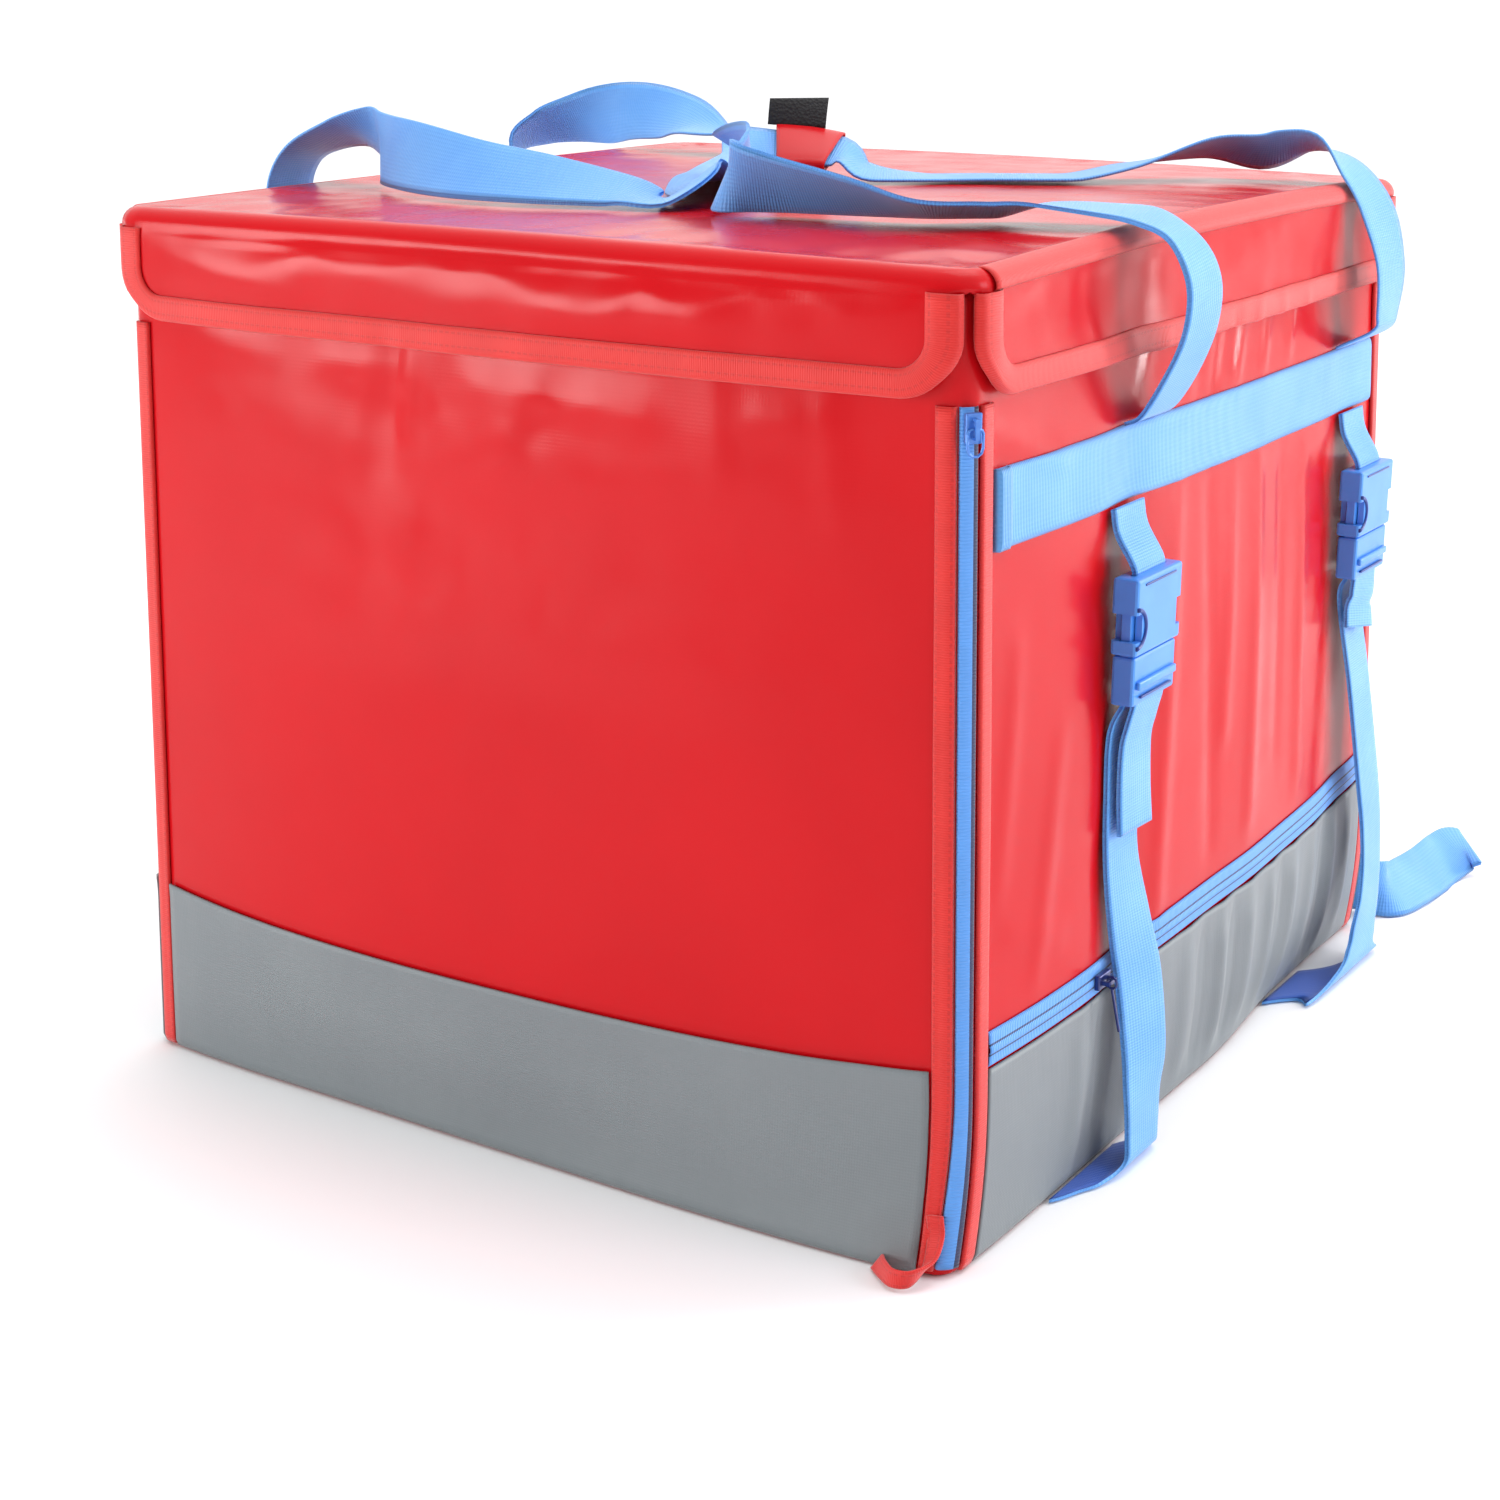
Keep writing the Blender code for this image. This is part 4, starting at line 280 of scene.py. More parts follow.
sideLoopRoute = (  # out, along, level, wx, wy, wz
    (-1.008, -1.164, 0.012, 0.00, -1.00, 0.00),
    (-1.035, -1.165, 0.121, 0.00, -1.00, -0.02),
    (-1.062, -1.171, 0.451, 0.01, -1.00, -0.03),
    (-1.070, -1.178, 0.803, 0.01, -1.00, -0.02),
    (-1.053, -1.185, 1.134, 0.00, -1.00, 0.00),
    (-0.999, -1.179, 1.532, 0.04, -0.98, 0.18),
    (-0.901, -1.150, 1.766, 0.02, -0.91, 0.42),
    (-0.808, -1.169, 1.718, 0.00, -0.47, 0.88),
    (-0.747, -1.276, 1.605, 0.02, 0.05, 1.00),
    (-0.618, -1.415, 1.571, -0.04, 0.34, 0.94),
    (-0.425, -1.505, 1.475, -0.05, 0.65, 0.76),
    (-0.239, -1.490, 1.398, -0.17, 0.80, 0.57),
    (-0.076, -1.408, 1.287, -0.24, 0.93, 0.29),
    (0.012, -1.378, 1.178, -0.48, 0.88, 0.04),
    (0.045, -1.241, 1.276, -0.61, 0.71, -0.35),
    (-0.052, -0.958, 1.275, -0.95, 0.12, -0.29),
    (-0.155, -0.621, 1.193, -0.89, -0.45, 0.01),
    (-0.240, -0.312, 1.156, -0.89, -0.46, 0.00),
    (-0.333, 0.023, 1.143, -0.90, -0.44, -0.01),
    (-0.416, 0.351, 1.136, -0.86, -0.51, 0.00),
    (-0.488, 0.617, 1.142, -0.61, -0.80, 0.04),
    (-0.581, 0.793, 1.275, 0.35, -0.93, 0.14),
    (-0.695, 0.806, 1.439, 0.22, -0.96, -0.17),
    (-0.816, 0.888, 1.594, 0.18, -0.75, -0.64),
    (-0.970, 0.950, 1.646, 0.01, -0.33, -0.94),
    (-1.134, 0.962, 1.480, -0.30, 0.43, -0.85),
    (-1.239, 0.901, 1.313, -0.31, 0.70, -0.64),
    (-1.292, 0.812, 1.005, -0.36, 0.89, -0.27),
    (-1.237, 0.835, 0.676, -0.37, 0.93, -0.06),
    (-1.122, 0.915, 0.347, -0.32, 0.94, 0.09),
    (-1.041, 0.981, 0.147, -0.16, 0.98, 0.13),
    (-1.008, 0.986, 0.012, -0.01, 1.00, 0.01),
)
nearStrapRoute = (  # down, off, drift, turn
    (0.07, 0.130, 0.13, 0.02),
    (0.21, 0.118, 0.18, 0.03),
    (0.34, 0.145, 0.26, 0.03),
    (0.49, 0.237, 0.14, 0.16),
    (0.61, 0.342, 0.04, 0.24),
    (0.76, 0.470, 0.10, 0.20),
    (0.85, 0.526, 0.22, 0.07),
    (0.925, 0.570, 0.24, 0.03),
    (0.972, 0.590, 0.30, 0.00),
    (0.991, 0.470, 0.46, 0.00),
    (0.993, 0.280, 0.75, 0.00),
    (0.993, 0.085, 1.10, 0.00),
)
farStrapRoute = (  # down, off, drift, turn
    (0.06, 0.158, 0.02, -0.03),
    (0.27, 0.289, -0.20, -0.03),
    (0.50, 0.440, -0.33, -0.02),
    (0.63, 0.500, -0.47, -0.04),
    (0.74, 0.553, -0.48, -0.05),
    (0.82, 0.640, -0.30, -0.05),
    (0.89, 0.730, -0.03, 0.00),
    (0.93, 0.790, 0.12, 0.02),
    (0.965, 0.830, 0.32, 0.01),
    (0.988, 0.780, 0.66, 0.00),
    (0.993, 0.560, 1.15, 0.00),
    (0.993, 0.085, 1.75, 0.00),
)
nearTailRoute = (  # down, off, drift, turn
    (0.05, 0.330, 0.02, 0.00),
    (0.10, 0.270, 0.06, 0.00),
    (0.19, 0.260, 0.07, 0.02),
    (0.28, 0.280, 0.08, 0.04),
)
farTailRoute = (  # down, off, drift, turn
    (0.05, 0.380, 0.05, 0.03),
    (0.08, 0.350, 0.10, 0.06),
    (0.13, 0.380, 0.16, 0.08),
)
floorTailRoute = (  # x, y, z, wx, wy, wz
    (0.00, 0.00, 0.54, 0.00, 0.05, 1.00),
    (0.55, 0.18, 0.53, 0.06, -0.20, 0.98),
    (1.06, 0.34, 0.49, 0.05, -0.05, 0.99),
    (1.31, 0.70, 0.39, -0.28, 0.70, 0.62),
    (1.39, 1.40, 0.35, -0.35, 0.85, 0.38),
    (1.43, 2.19, 0.31, -0.34, 0.87, 0.35),
    (1.46, 2.89, 0.33, -0.46, 0.68, 0.58),
    (1.58, 3.33, 0.41, -0.52, 0.62, 0.58),
    (1.76, 3.52, 0.42, -0.57, 0.75, 0.30),
)
footCurlRoute = (  # x, y, z, across, deep, up
    (0.03, 0.02, 0.80, 1.0, 0.0, 0.0),
    (0.07, -0.01, 0.52, 0.95, 0.0, 0.25),
    (0.11, -0.26, 0.27, 0.70, 0.0, 0.70),
    (0.02, -0.57, 0.18, 0.25, 0.0, 0.97),
    (-0.20, -0.62, 0.145, 0.0, 0.25, 0.97),
    (-0.43, -0.46, 0.130, 0.0, 0.45, 0.90),
    (-0.62, -0.26, 0.095, 0.0, 0.80, 0.55),
)


# cut cloth laid out as a grid, each corner moved to its place; flat is its place on the cut, in metres
def layOut(columns, rows, place, flat):
    bm = bmesh.new()
    uv = bm.loops.layers.uv.new("cutCloth")
    bmesh.ops.create_grid(bm, x_segments=columns, y_segments=rows, size=0.5, calc_uvs=True)
    for face in bm.faces:
        for loop in face.loops:
            loop[uv].uv = flat(*loop[uv].uv)
    for vert in bm.verts:
        vert.co = place(vert.co.x + 0.5, vert.co.y + 0.5)
    return bm


# a finished mesh in the scene, riding the bag
def addDetail(name, bm, finish, reverse=None):
    mesh = bpy.data.meshes.new(name)
    bm.to_mesh(mesh)
    bm.free()
    mesh.shade_smooth()
    mesh.materials.append(finish)
    # a second finish, where given, is a darker copy painting shade on one side of the piece
    if reverse:
        mesh.materials.append(reverse)
    piece = bpy.data.objects.new(name, mesh)
    bpy.context.scene.collection.objects.link(piece)
    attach(piece, "bag")
    return piece


def makePiece(name, bm, finish, replaced, wall=0.0, lining=None, reverse=None):
    piece = addDetail(name, bm, finish, reverse)
    if wall:
        solid = piece.modifiers.new("wall", "SOLIDIFY")
        solid.thickness = wall
        solid.offset = -1.0
        if lining:
            piece.data.materials.append(lining)
            solid.material_offset = 1
    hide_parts(replaced)
    return piece


def closeSeam(bm):
    bmesh.ops.remove_doubles(bm, verts=bm.verts, dist=0.00001)


# a flat strip on one side: from an arc length past its start to one past its end
def sideStrip(side, start, end, low, high, lift, columns, rows):
    halves = halfSizes(0.0)
    straight = (halves[0] if side in (front, back) else halves[1]) - bag["corner"]
    length = 2 * straight + end - start

    def place(u, v):
        across = start + u * length
        share, edge = -1.0, across
        if across > 0:
            share, edge = min(across / straight - 1.0, 1.0), max(across - 2 * straight, 0.0)
        bottom, top = low(share), high(share)
        z = bottom + (top - bottom) * v
        return skin(side, share, edge, z, lift(share, z, u, v))

    def flat(u, v):
        return (u - 0.5) * length, v * (high(0.0) - low(0.0))

    return layOut(columns, rows, place, flat)


# tape down an upright edge, with rounded edges, between two arc lengths past a side's end; flare is
# how far each of them moves at the foot
def edgeTape(side, end, inner, outer, low, high, thick, columns, rows, flare=(0.0, 0.0)):
    first, last = sorted((end * inner, end * outer))

    def place(u, v):
        z = low + (high - low) * v
        spread = 1 - ease(0.0, 0.095, z)
        across = first + (last - first) * u + spread * (flare[0] * (1 - u) + flare[1] * u)
        rounding = max(1 - abs(2 * u - 1) ** 5, 0.0) ** 0.5
        return skin(side, end, across, z, bag["fit"] + thick * rounding)

    def flat(u, v):
        return (u - 0.5) * (last - first), v * (high - low)

    return layOut(columns, rows, place, flat)


# webbing between its two edges: a flat closed section with rounded selvedges. Its faces on the
# side that reverse names, 1 or -1, take the piece's second finish, a darker copy that paints shade there
def webbingBetween(first, second, thick, reverse=0, flatSteps=8):
    half = thick / 2
    section = [(-1 + 2 * k / flatSteps, 1.0, 0.0) for k in range(flatSteps + 1)]
    section += [(1.0, math.cos(math.pi * k / 4), math.sin(math.pi * k / 4)) for k in range(1, 4)]
    section += [(1 - 2 * k / flatSteps, -1.0, 0.0) for k in range(flatSteps + 1)]
    section += [(-1.0, -math.cos(math.pi * k / 4), -math.sin(math.pi * k / 4)) for k in range(1, 4)]
    section.append(section[0])
    stations = len(first)
    lengths = [0.0]
    for k in range(1, stations):
        middles = [(first[n] + second[n]) / 2 for n in (k - 1, k)]
        lengths.append(lengths[-1] + (middles[1] - middles[0]).length)
    width = (second[0] - first[0]).length

    def place(u, v):
        k = round(u * (stations - 1))
        wide, deep, out = section[round(v * (len(section) - 1))]
        middle, reach = (first[k] + second[k]) / 2, (second[k] - first[k]) / 2
        before, after = max(k - 1, 0), min(k + 1, stations - 1)
        ahead = (first[after] + second[after] - first[before] - second[before]).normalized()
        face = ahead.cross(reach).normalized()
        flatReach = reach.normalized() * (reach.length - half)
        side = reach.normalized() * half * out * (1 if wide > 0 else -1)
        return middle + flatReach * wide + side + face * half * deep

    def flat(u, v):
        return (section[round(v * (len(section) - 1))][0] * width / 2,
                lengths[round(u * (stations - 1))])

    bm = layOut(stations - 1, len(section) - 1, place, flat)
    bm.faces.ensure_lookup_table()
    for face in bm.faces:
        row = face.index // (stations - 1)
        if reverse and section[row][1] == section[row + 1][1] == reverse:
            face.material_index = 1
    closeSeam(bm)
    bmesh.ops.holes_fill(bm, edges=[edge for edge in bm.edges if edge.is_boundary], sides=0)
    bmesh.ops.recalc_face_normals(bm, faces=bm.faces)
    return bm


# both edges of webbing through a few places, flat across the given directions
def webbingEdges(centres, across, width, steps=8, square=True):
    places, widths = through(centres, steps), through(across, steps)
    first, second = [], []
    for k, (place, direction) in enumerate(zip(places, widths)):
        ahead = (places[min(k + 1, len(places) - 1)] - places[max(k - 1, 0)]).normalized()
        upright = direction - ahead * direction.dot(ahead)
        flat = upright.normalized() if square else direction.normalized()
        reach = width / 2 if square else width / 2 * direction.length / upright.length
        first.append(place - flat * reach)
        second.append(place + flat * reach)
    return first, second


# finishes
def linear(code):
    channels = [int(code[k:k + 2], 16) / 255 for k in (1, 3, 5)]
    return [c / 12.92 if c <= 0.04045 else ((c + 0.055) / 1.055) ** 2.4 for c in channels] + [1.0]


def addNode(tree, kind, settings=None, values=None, links=None):
    node = tree.nodes.new(kind)
    for name, value in (settings or {}).items():
        setattr(node, name, value)
    for socket, value in (values or {}).items():
        node.inputs[socket].default_value = value
    for socket, source in (links or {}).items():
        tree.links.new(source, node.inputs[socket])
    return node


def newFinish(name, values):
    material = bpy.data.materials.new(name)
    material.use_nodes = True
    shader = material.node_tree.nodes["Principled BSDF"]
    for socket, value in values.items():
        shader.inputs[socket].default_value = value
    return material, material.node_tree, shader


# cloudy blend of a colour and its shade over a piece, and the noise behind it
def cloudyTone(tree, where, colour, shade, values):
    cloud = addNode(tree, "ShaderNodeTexNoise", values=values, links={"Vector": where.outputs["Object"]})
    tone = addNode(tree, "ShaderNodeMix", {"data_type": "RGBA"}, {6: linear(colour), 7: linear(shade)},
                   {0: cloud.outputs["Fac"]})
    return cloud, tone


# plain weave on the cut cloth, its threads that far apart in metres
def plainWeave(tree, where, spacing):
    threads = [addNode(tree, "ShaderNodeTexWave", {"bands_direction": direction},
                       {"Scale": 0.314 / spacing, "Distortion": 0.0}, {"Vector": where.outputs["UV"]})
               for direction in ("X", "Y")]
    return addNode(tree, "ShaderNodeMath", {"operation": "MULTIPLY"},
                   links={n: thread.outputs["Fac"] for n, thread in enumerate(threads)})


# PVC-coated polyester, calendered: glossy and even, with soft creases and the scrim's threads
# just showing through the coating (threads of 0.5 mm drawn 1.8 mm apart so that they show)
def tarpaulin(name, colour, shade, uneven=1.0):
    material, tree, shader = newFinish(name, {
        "IOR": 1.5, "Specular IOR Level": 0.17})
    where = addNode(tree, "ShaderNodeTexCoord")
    cloud, tone = cloudyTone(tree, where, colour, shade, {"Scale": 7.0, "Detail": 3.0, "Roughness": 0.55})
    tree.links.new(tone.outputs[2], shader.inputs["Base Color"])
    rubbed = addNode(tree, "ShaderNodeTexNoise", values={"Scale": 34.0, "Detail": 5.0},
                     links={"Vector": where.outputs["Object"]})
    rough = addNode(tree, "ShaderNodeMapRange", values={"From Min": 0.3, "From Max": 0.7,
                                                         "To Min": 0.16, "To Max": 0.27},
                    links={"Value": rubbed.outputs["Fac"]})
    tree.links.new(rough.outputs["Result"], shader.inputs["Roughness"])
    crease = addNode(tree, "ShaderNodeTexNoise",
                     values={"Scale": 14.0, "Detail": 2.0, "Roughness": 0.45},
                     links={"Vector": where.outputs["Object"]})
    folded = addNode(tree, "ShaderNodeBump", values={"Strength": 0.14 * uneven, "Distance": 0.006},
                     links={"Height": crease.outputs["Fac"]})
    small = addNode(tree, "ShaderNodeTexNoise", values={"Scale": 70.0, "Detail": 1.0},
                    links={"Vector": where.outputs["Object"]})
    puckered = addNode(tree, "ShaderNodeBump", values={"Strength": 0.06 * uneven, "Distance": 0.0010},
                       links={"Height": small.outputs["Fac"], "Normal": folded.outputs["Normal"]})
    scrim = plainWeave(tree, where, 0.0018)
    woven = addNode(tree, "ShaderNodeBump", values={"Strength": 0.07, "Distance": 0.00020},
                    links={"Height": scrim.outputs[0], "Normal": puckered.outputs["Normal"]})
    tree.links.new(woven.outputs["Normal"], shader.inputs["Normal"])
    return material


# Oxford polyester with a thin coating inside: matt grey, fine plain weave, soft vertical creases
def oxfordCloth(name, colour, shade):
    material, tree, shader = newFinish(name, {
        "IOR": 1.46, "Sheen Weight": 0.15, "Sheen Roughness": 0.4})
    where = addNode(tree, "ShaderNodeTexCoord")
    cloud, tone = cloudyTone(tree, where, colour, shade, {"Scale": 11.0, "Detail": 4.0})
    tree.links.new(tone.outputs[2], shader.inputs["Base Color"])
    rough = addNode(tree, "ShaderNodeMapRange", values={"To Min": 0.40, "To Max": 0.56},
                    links={"Value": cloud.outputs["Fac"]})
    tree.links.new(rough.outputs["Result"], shader.inputs["Roughness"])
    upright = addNode(tree, "ShaderNodeMapping", values={"Scale": (60.0, 60.0, 9.0)},
                      links={"Vector": where.outputs["Object"]})
    crease = addNode(tree, "ShaderNodeTexNoise", values={"Scale": 1.0, "Detail": 3.0},
                     links={"Vector": upright.outputs["Vector"]})
    folded = addNode(tree, "ShaderNodeBump", values={"Strength": 0.25, "Distance": 0.0018},
                     links={"Height": crease.outputs["Fac"]})
    weave = plainWeave(tree, where, 0.0014)
    woven = addNode(tree, "ShaderNodeBump", values={"Strength": 0.25, "Distance": 0.0003},
                    links={"Height": weave.outputs[0], "Normal": folded.outputs["Normal"]})
    tree.links.new(woven.outputs["Normal"], shader.inputs["Normal"])
    return material


# grosgrain tape: matt orange red, cross ribs (0.5 mm, drawn 1.2 mm), and two rows of stitches
# 3 mm from its middle that sink into it
def bindingTape(name, colour, shade, stitchAt=0.0032):
    material, tree, shader = newFinish(name, {
        "Roughness": 0.55, "IOR": 1.46, "Sheen Weight": 0.25, "Sheen Roughness": 0.5})
    where = addNode(tree, "ShaderNodeTexCoord")
    parts = addNode(tree, "ShaderNodeSeparateXYZ", links={"Vector": where.outputs["UV"]})
    cloud, tone = cloudyTone(tree, where, colour, shade, {"Scale": 45.0, "Detail": 3.0})
    ribs = addNode(tree, "ShaderNodeTexWave", {"bands_direction": "Y"},
                   {"Scale": 0.314 / 0.0012, "Distortion": 0.4}, {"Vector": where.outputs["UV"]})
    across = addNode(tree, "ShaderNodeMath", {"operation": "ABSOLUTE"}, links={0: parts.outputs["X"]})
    away = addNode(tree, "ShaderNodeMath", {"operation": "SUBTRACT"}, {1: stitchAt},
                   {0: across.outputs[0]})
    near = addNode(tree, "ShaderNodeMath", {"operation": "COMPARE"}, {1: 0.0, 2: 0.0005},
                   {0: away.outputs[0]})
    turn = addNode(tree, "ShaderNodeMath", {"operation": "MULTIPLY"}, {1: 2 * math.pi / 0.0036},
                   {0: parts.outputs["Y"]})
    rise = addNode(tree, "ShaderNodeMath", {"operation": "SINE"}, links={0: turn.outputs[0]})
    thread = addNode(tree, "ShaderNodeMath", {"operation": "GREATER_THAN"}, {1: -0.35},
                     {0: rise.outputs[0]})
    stitch = addNode(tree, "ShaderNodeMath", {"operation": "MULTIPLY"},
                     links={0: near.outputs[0], 1: thread.outputs[0]})
    sewn = addNode(tree, "ShaderNodeMix", {"data_type": "RGBA"}, {7: linear(shade)},
                   {0: stitch.outputs[0], 6: tone.outputs[2]})
    tree.links.new(sewn.outputs[2], shader.inputs["Base Color"])
    ribbed = addNode(tree, "ShaderNodeBump", values={"Strength": 0.35, "Distance": 0.0004},
                     links={"Height": ribs.outputs["Fac"]})
    sunk = addNode(tree, "ShaderNodeBump", {"invert": True}, {"Strength": 0.6, "Distance": 0.0005},
                   {"Height": near.outputs[0], "Normal": ribbed.outputs["Normal"]})
    tree.links.new(sunk.outputs["Normal"], shader.inputs["Normal"])
    return material


# woven polypropylene webbing: smooth filament with a pale gloss, lengthwise ribs (2.4 mm apart)
# crossed by the weft (1.5 mm), and a plain selvedge
def webbing(name, colour, shade):
    material, tree, shader = newFinish(name, {
        "IOR": 1.49, "Sheen Weight": 0.35, "Sheen Roughness": 0.35, "Coat Weight": 0.05,
        "Coat Roughness": 0.4})
    where = addNode(tree, "ShaderNodeTexCoord")
    cloud, tone = cloudyTone(tree, where, colour, shade, {"Scale": 26.0, "Detail": 4.0})
    ribs = addNode(tree, "ShaderNodeTexWave", {"bands_direction": "X"},
                   {"Scale": 0.314 / 0.0024, "Distortion": 0.0}, {"Vector": where.outputs["UV"]})
    weft = addNode(tree, "ShaderNodeTexWave", {"bands_direction": "Y"},
                   {"Scale": 0.314 / 0.0015, "Distortion": 0.3}, {"Vector": where.outputs["UV"]})
    crossed = addNode(tree, "ShaderNodeMath", {"operation": "MULTIPLY_ADD"}, {1: 0.5},
                      {0: ribs.outputs["Fac"], 2: weft.outputs["Fac"]})
    # painted shade: the base colour darkens towards the shade colour in the valleys between ribs and weft
    valley = addNode(tree, "ShaderNodeMapRange", values={"From Min": 0.0, "From Max": 0.5,
                                                          "To Min": 0.35, "To Max": 0.0},
                     links={"Value": crossed.outputs[0]})
    shaded = addNode(tree, "ShaderNodeMix", {"data_type": "RGBA"}, {7: linear(shade)},
                     {0: valley.outputs["Result"], 6: tone.outputs[2]})
    tree.links.new(shaded.outputs[2], shader.inputs["Base Color"])
    rough = addNode(tree, "ShaderNodeMapRange", values={"To Min": 0.42, "To Max": 0.58},
                    links={"Value": cloud.outputs["Fac"]})
    tree.links.new(rough.outputs["Result"], shader.inputs["Roughness"])
    woven = addNode(tree, "ShaderNodeBump", values={"Strength": 0.45, "Distance": 0.0005},
                    links={"Height": crossed.outputs[0]})
    tree.links.new(woven.outputs["Normal"], shader.inputs["Normal"])
    return material


# zip tape with its nylon coil: ribbed blue tape, a painted shadow line on each side of the coil (or one
# beside it) standing for the shaded gap by the teeth, and the coil's teeth 1.6 mm apart
def zipTape(name, colour, gapShadowColour, lineAt, lineWidth, coil):
    material, tree, shader = newFinish(name, {
        "Roughness": 0.5, "IOR": 1.5, "Sheen Weight": 0.2, "Sheen Roughness": 0.5})
    where = addNode(tree, "ShaderNodeTexCoord")
    parts = addNode(tree, "ShaderNodeSeparateXYZ", links={"Vector": where.outputs["UV"]})
    across = addNode(tree, "ShaderNodeMath", {"operation": "ABSOLUTE" if coil else "MULTIPLY"},
                     {} if coil else {1: 1.0}, {0: parts.outputs["X"]})
    # painted shadow: a dark line where the gap beside the teeth is shaded
    gapShadowLine = addNode(tree, "ShaderNodeMath", {"operation": "COMPARE"}, {1: lineAt, 2: lineWidth / 2},
                   {0: across.outputs[0]})
    cloud = addNode(tree, "ShaderNodeTexNoise", values={"Scale": 60.0, "Detail": 3.0},
                    links={"Vector": where.outputs["Object"]})
    tone = addNode(tree, "ShaderNodeMix", {"data_type": "RGBA"},
                   {6: linear(colour), 7: [c * 0.84 for c in linear(colour)[:3]] + [1.0]},
                   {0: cloud.outputs["Fac"]})
    gapShadowed = addNode(tree, "ShaderNodeMix", {"data_type": "RGBA"}, {7: linear(gapShadowColour)},
                    {0: gapShadowLine.outputs[0], 6: tone.outputs[2]})
    tree.links.new(gapShadowed.outputs[2], shader.inputs["Base Color"])
    teeth = addNode(tree, "ShaderNodeTexWave", {"bands_direction": "Y"},
                    {"Scale": 0.314 / 0.0016, "Distortion": 0.0}, {"Vector": where.outputs["UV"]})
    toothed = addNode(tree, "ShaderNodeBump", values={"Strength": 0.5, "Distance": 0.0006},
                      links={"Height": teeth.outputs["Fac"]})
    sunk = addNode(tree, "ShaderNodeBump", {"invert": True}, {"Strength": 0.8, "Distance": 0.0006},
                   {"Height": gapShadowLine.outputs[0], "Normal": toothed.outputs["Normal"]})
    tree.links.new(sunk.outputs["Normal"], shader.inputs["Normal"])
    return material


# injection-moulded acetal: even colour, semi-gloss, the faint orange peel of a polished mould
def mouldedAcetal(name, colour, shade):
    material, tree, shader = newFinish(name, {"IOR": 1.48, "Coat Weight": 0.1, "Coat Roughness": 0.15})
    where = addNode(tree, "ShaderNodeTexCoord")
    cloud, tone = cloudyTone(tree, where, colour, shade, {"Scale": 40.0, "Detail": 2.0})
    tree.links.new(tone.outputs[2], shader.inputs["Base Color"])
    rough = addNode(tree, "ShaderNodeMapRange", values={"To Min": 0.26, "To Max": 0.38},
                    links={"Value": cloud.outputs["Fac"]})
    tree.links.new(rough.outputs["Result"], shader.inputs["Roughness"])
    peel = addNode(tree, "ShaderNodeTexNoise", values={"Scale": 700.0, "Detail": 2.0},
                   links={"Vector": where.outputs["Object"]})
    skinned = addNode(tree, "ShaderNodeBump", values={"Strength": 0.08, "Distance": 0.0002},
                      links={"Height": peel.outputs["Fac"]})
    tree.links.new(skinned.outputs["Normal"], shader.inputs["Normal"])
    return material


# die-cast zinc with baked navy enamel: glossy, with small worn places
def enamelledZinc(name, colour, shade):
    material, tree, shader = newFinish(name, {"IOR": 1.5, "Metallic": 0.35, "Coat Weight": 0.5,
                                               "Coat Roughness": 0.12})
    where = addNode(tree, "ShaderNodeTexCoord")
    worn, tone = cloudyTone(tree, where, colour, shade, {"Scale": 260.0, "Detail": 5.0})
    tree.links.new(tone.outputs[2], shader.inputs["Base Color"])
    rough = addNode(tree, "ShaderNodeMapRange", values={"To Min": 0.2, "To Max": 0.42},
                    links={"Value": worn.outputs["Fac"]})
    tree.links.new(rough.outputs["Result"], shader.inputs["Roughness"])
    return material


# nylon hook tape: black, rough, with rows of hooks 1.6 mm apart
def hookTape(name, colour, shade):
    material, tree, shader = newFinish(name, {"Roughness": 0.75, "IOR": 1.53})
    where = addNode(tree, "ShaderNodeTexCoord")
    hooks = addNode(tree, "ShaderNodeTexVoronoi", values={"Scale": 620.0},
                    links={"Vector": where.outputs["Object"]})
    tone = addNode(tree, "ShaderNodeMix", {"data_type": "RGBA"}, {6: linear(colour), 7: linear(shade)},
                   {0: hooks.outputs["Distance"]})
    tree.links.new(tone.outputs[2], shader.inputs["Base Color"])
    rough = addNode(tree, "ShaderNodeBump", values={"Strength": 0.8, "Distance": 0.0008},
                    links={"Height": hooks.outputs["Distance"]})
    tree.links.new(rough.outputs["Normal"], shader.inputs["Normal"])
    return material


# aluminium foil laminated to the foam: silver lining inside the bag, crinkled
def foilLining(name, colour, shade):
    material, tree, shader = newFinish(name, {"Metallic": 0.8})
    where = addNode(tree, "ShaderNodeTexCoord")
    crinkle = addNode(tree, "ShaderNodeTexVoronoi", values={"Scale": 60.0},
                      links={"Vector": where.outputs["Object"]})
    tone = addNode(tree, "ShaderNodeMix", {"data_type": "RGBA"}, {6: linear(colour), 7: linear(shade)},
                   {0: crinkle.outputs["Distance"]})
    tree.links.new(tone.outputs[2], shader.inputs["Base Color"])
    rough = addNode(tree, "ShaderNodeMapRange", values={"To Min": 0.22, "To Max": 0.40},
                    links={"Value": crinkle.outputs["Distance"]})
    tree.links.new(rough.outputs["Result"], shader.inputs["Roughness"])
    creased = addNode(tree, "ShaderNodeBump", values={"Strength": 0.4, "Distance": 0.001},
                      links={"Height": crinkle.outputs["Distance"]})
    tree.links.new(creased.outputs["Normal"], shader.inputs["Normal"])
    return material


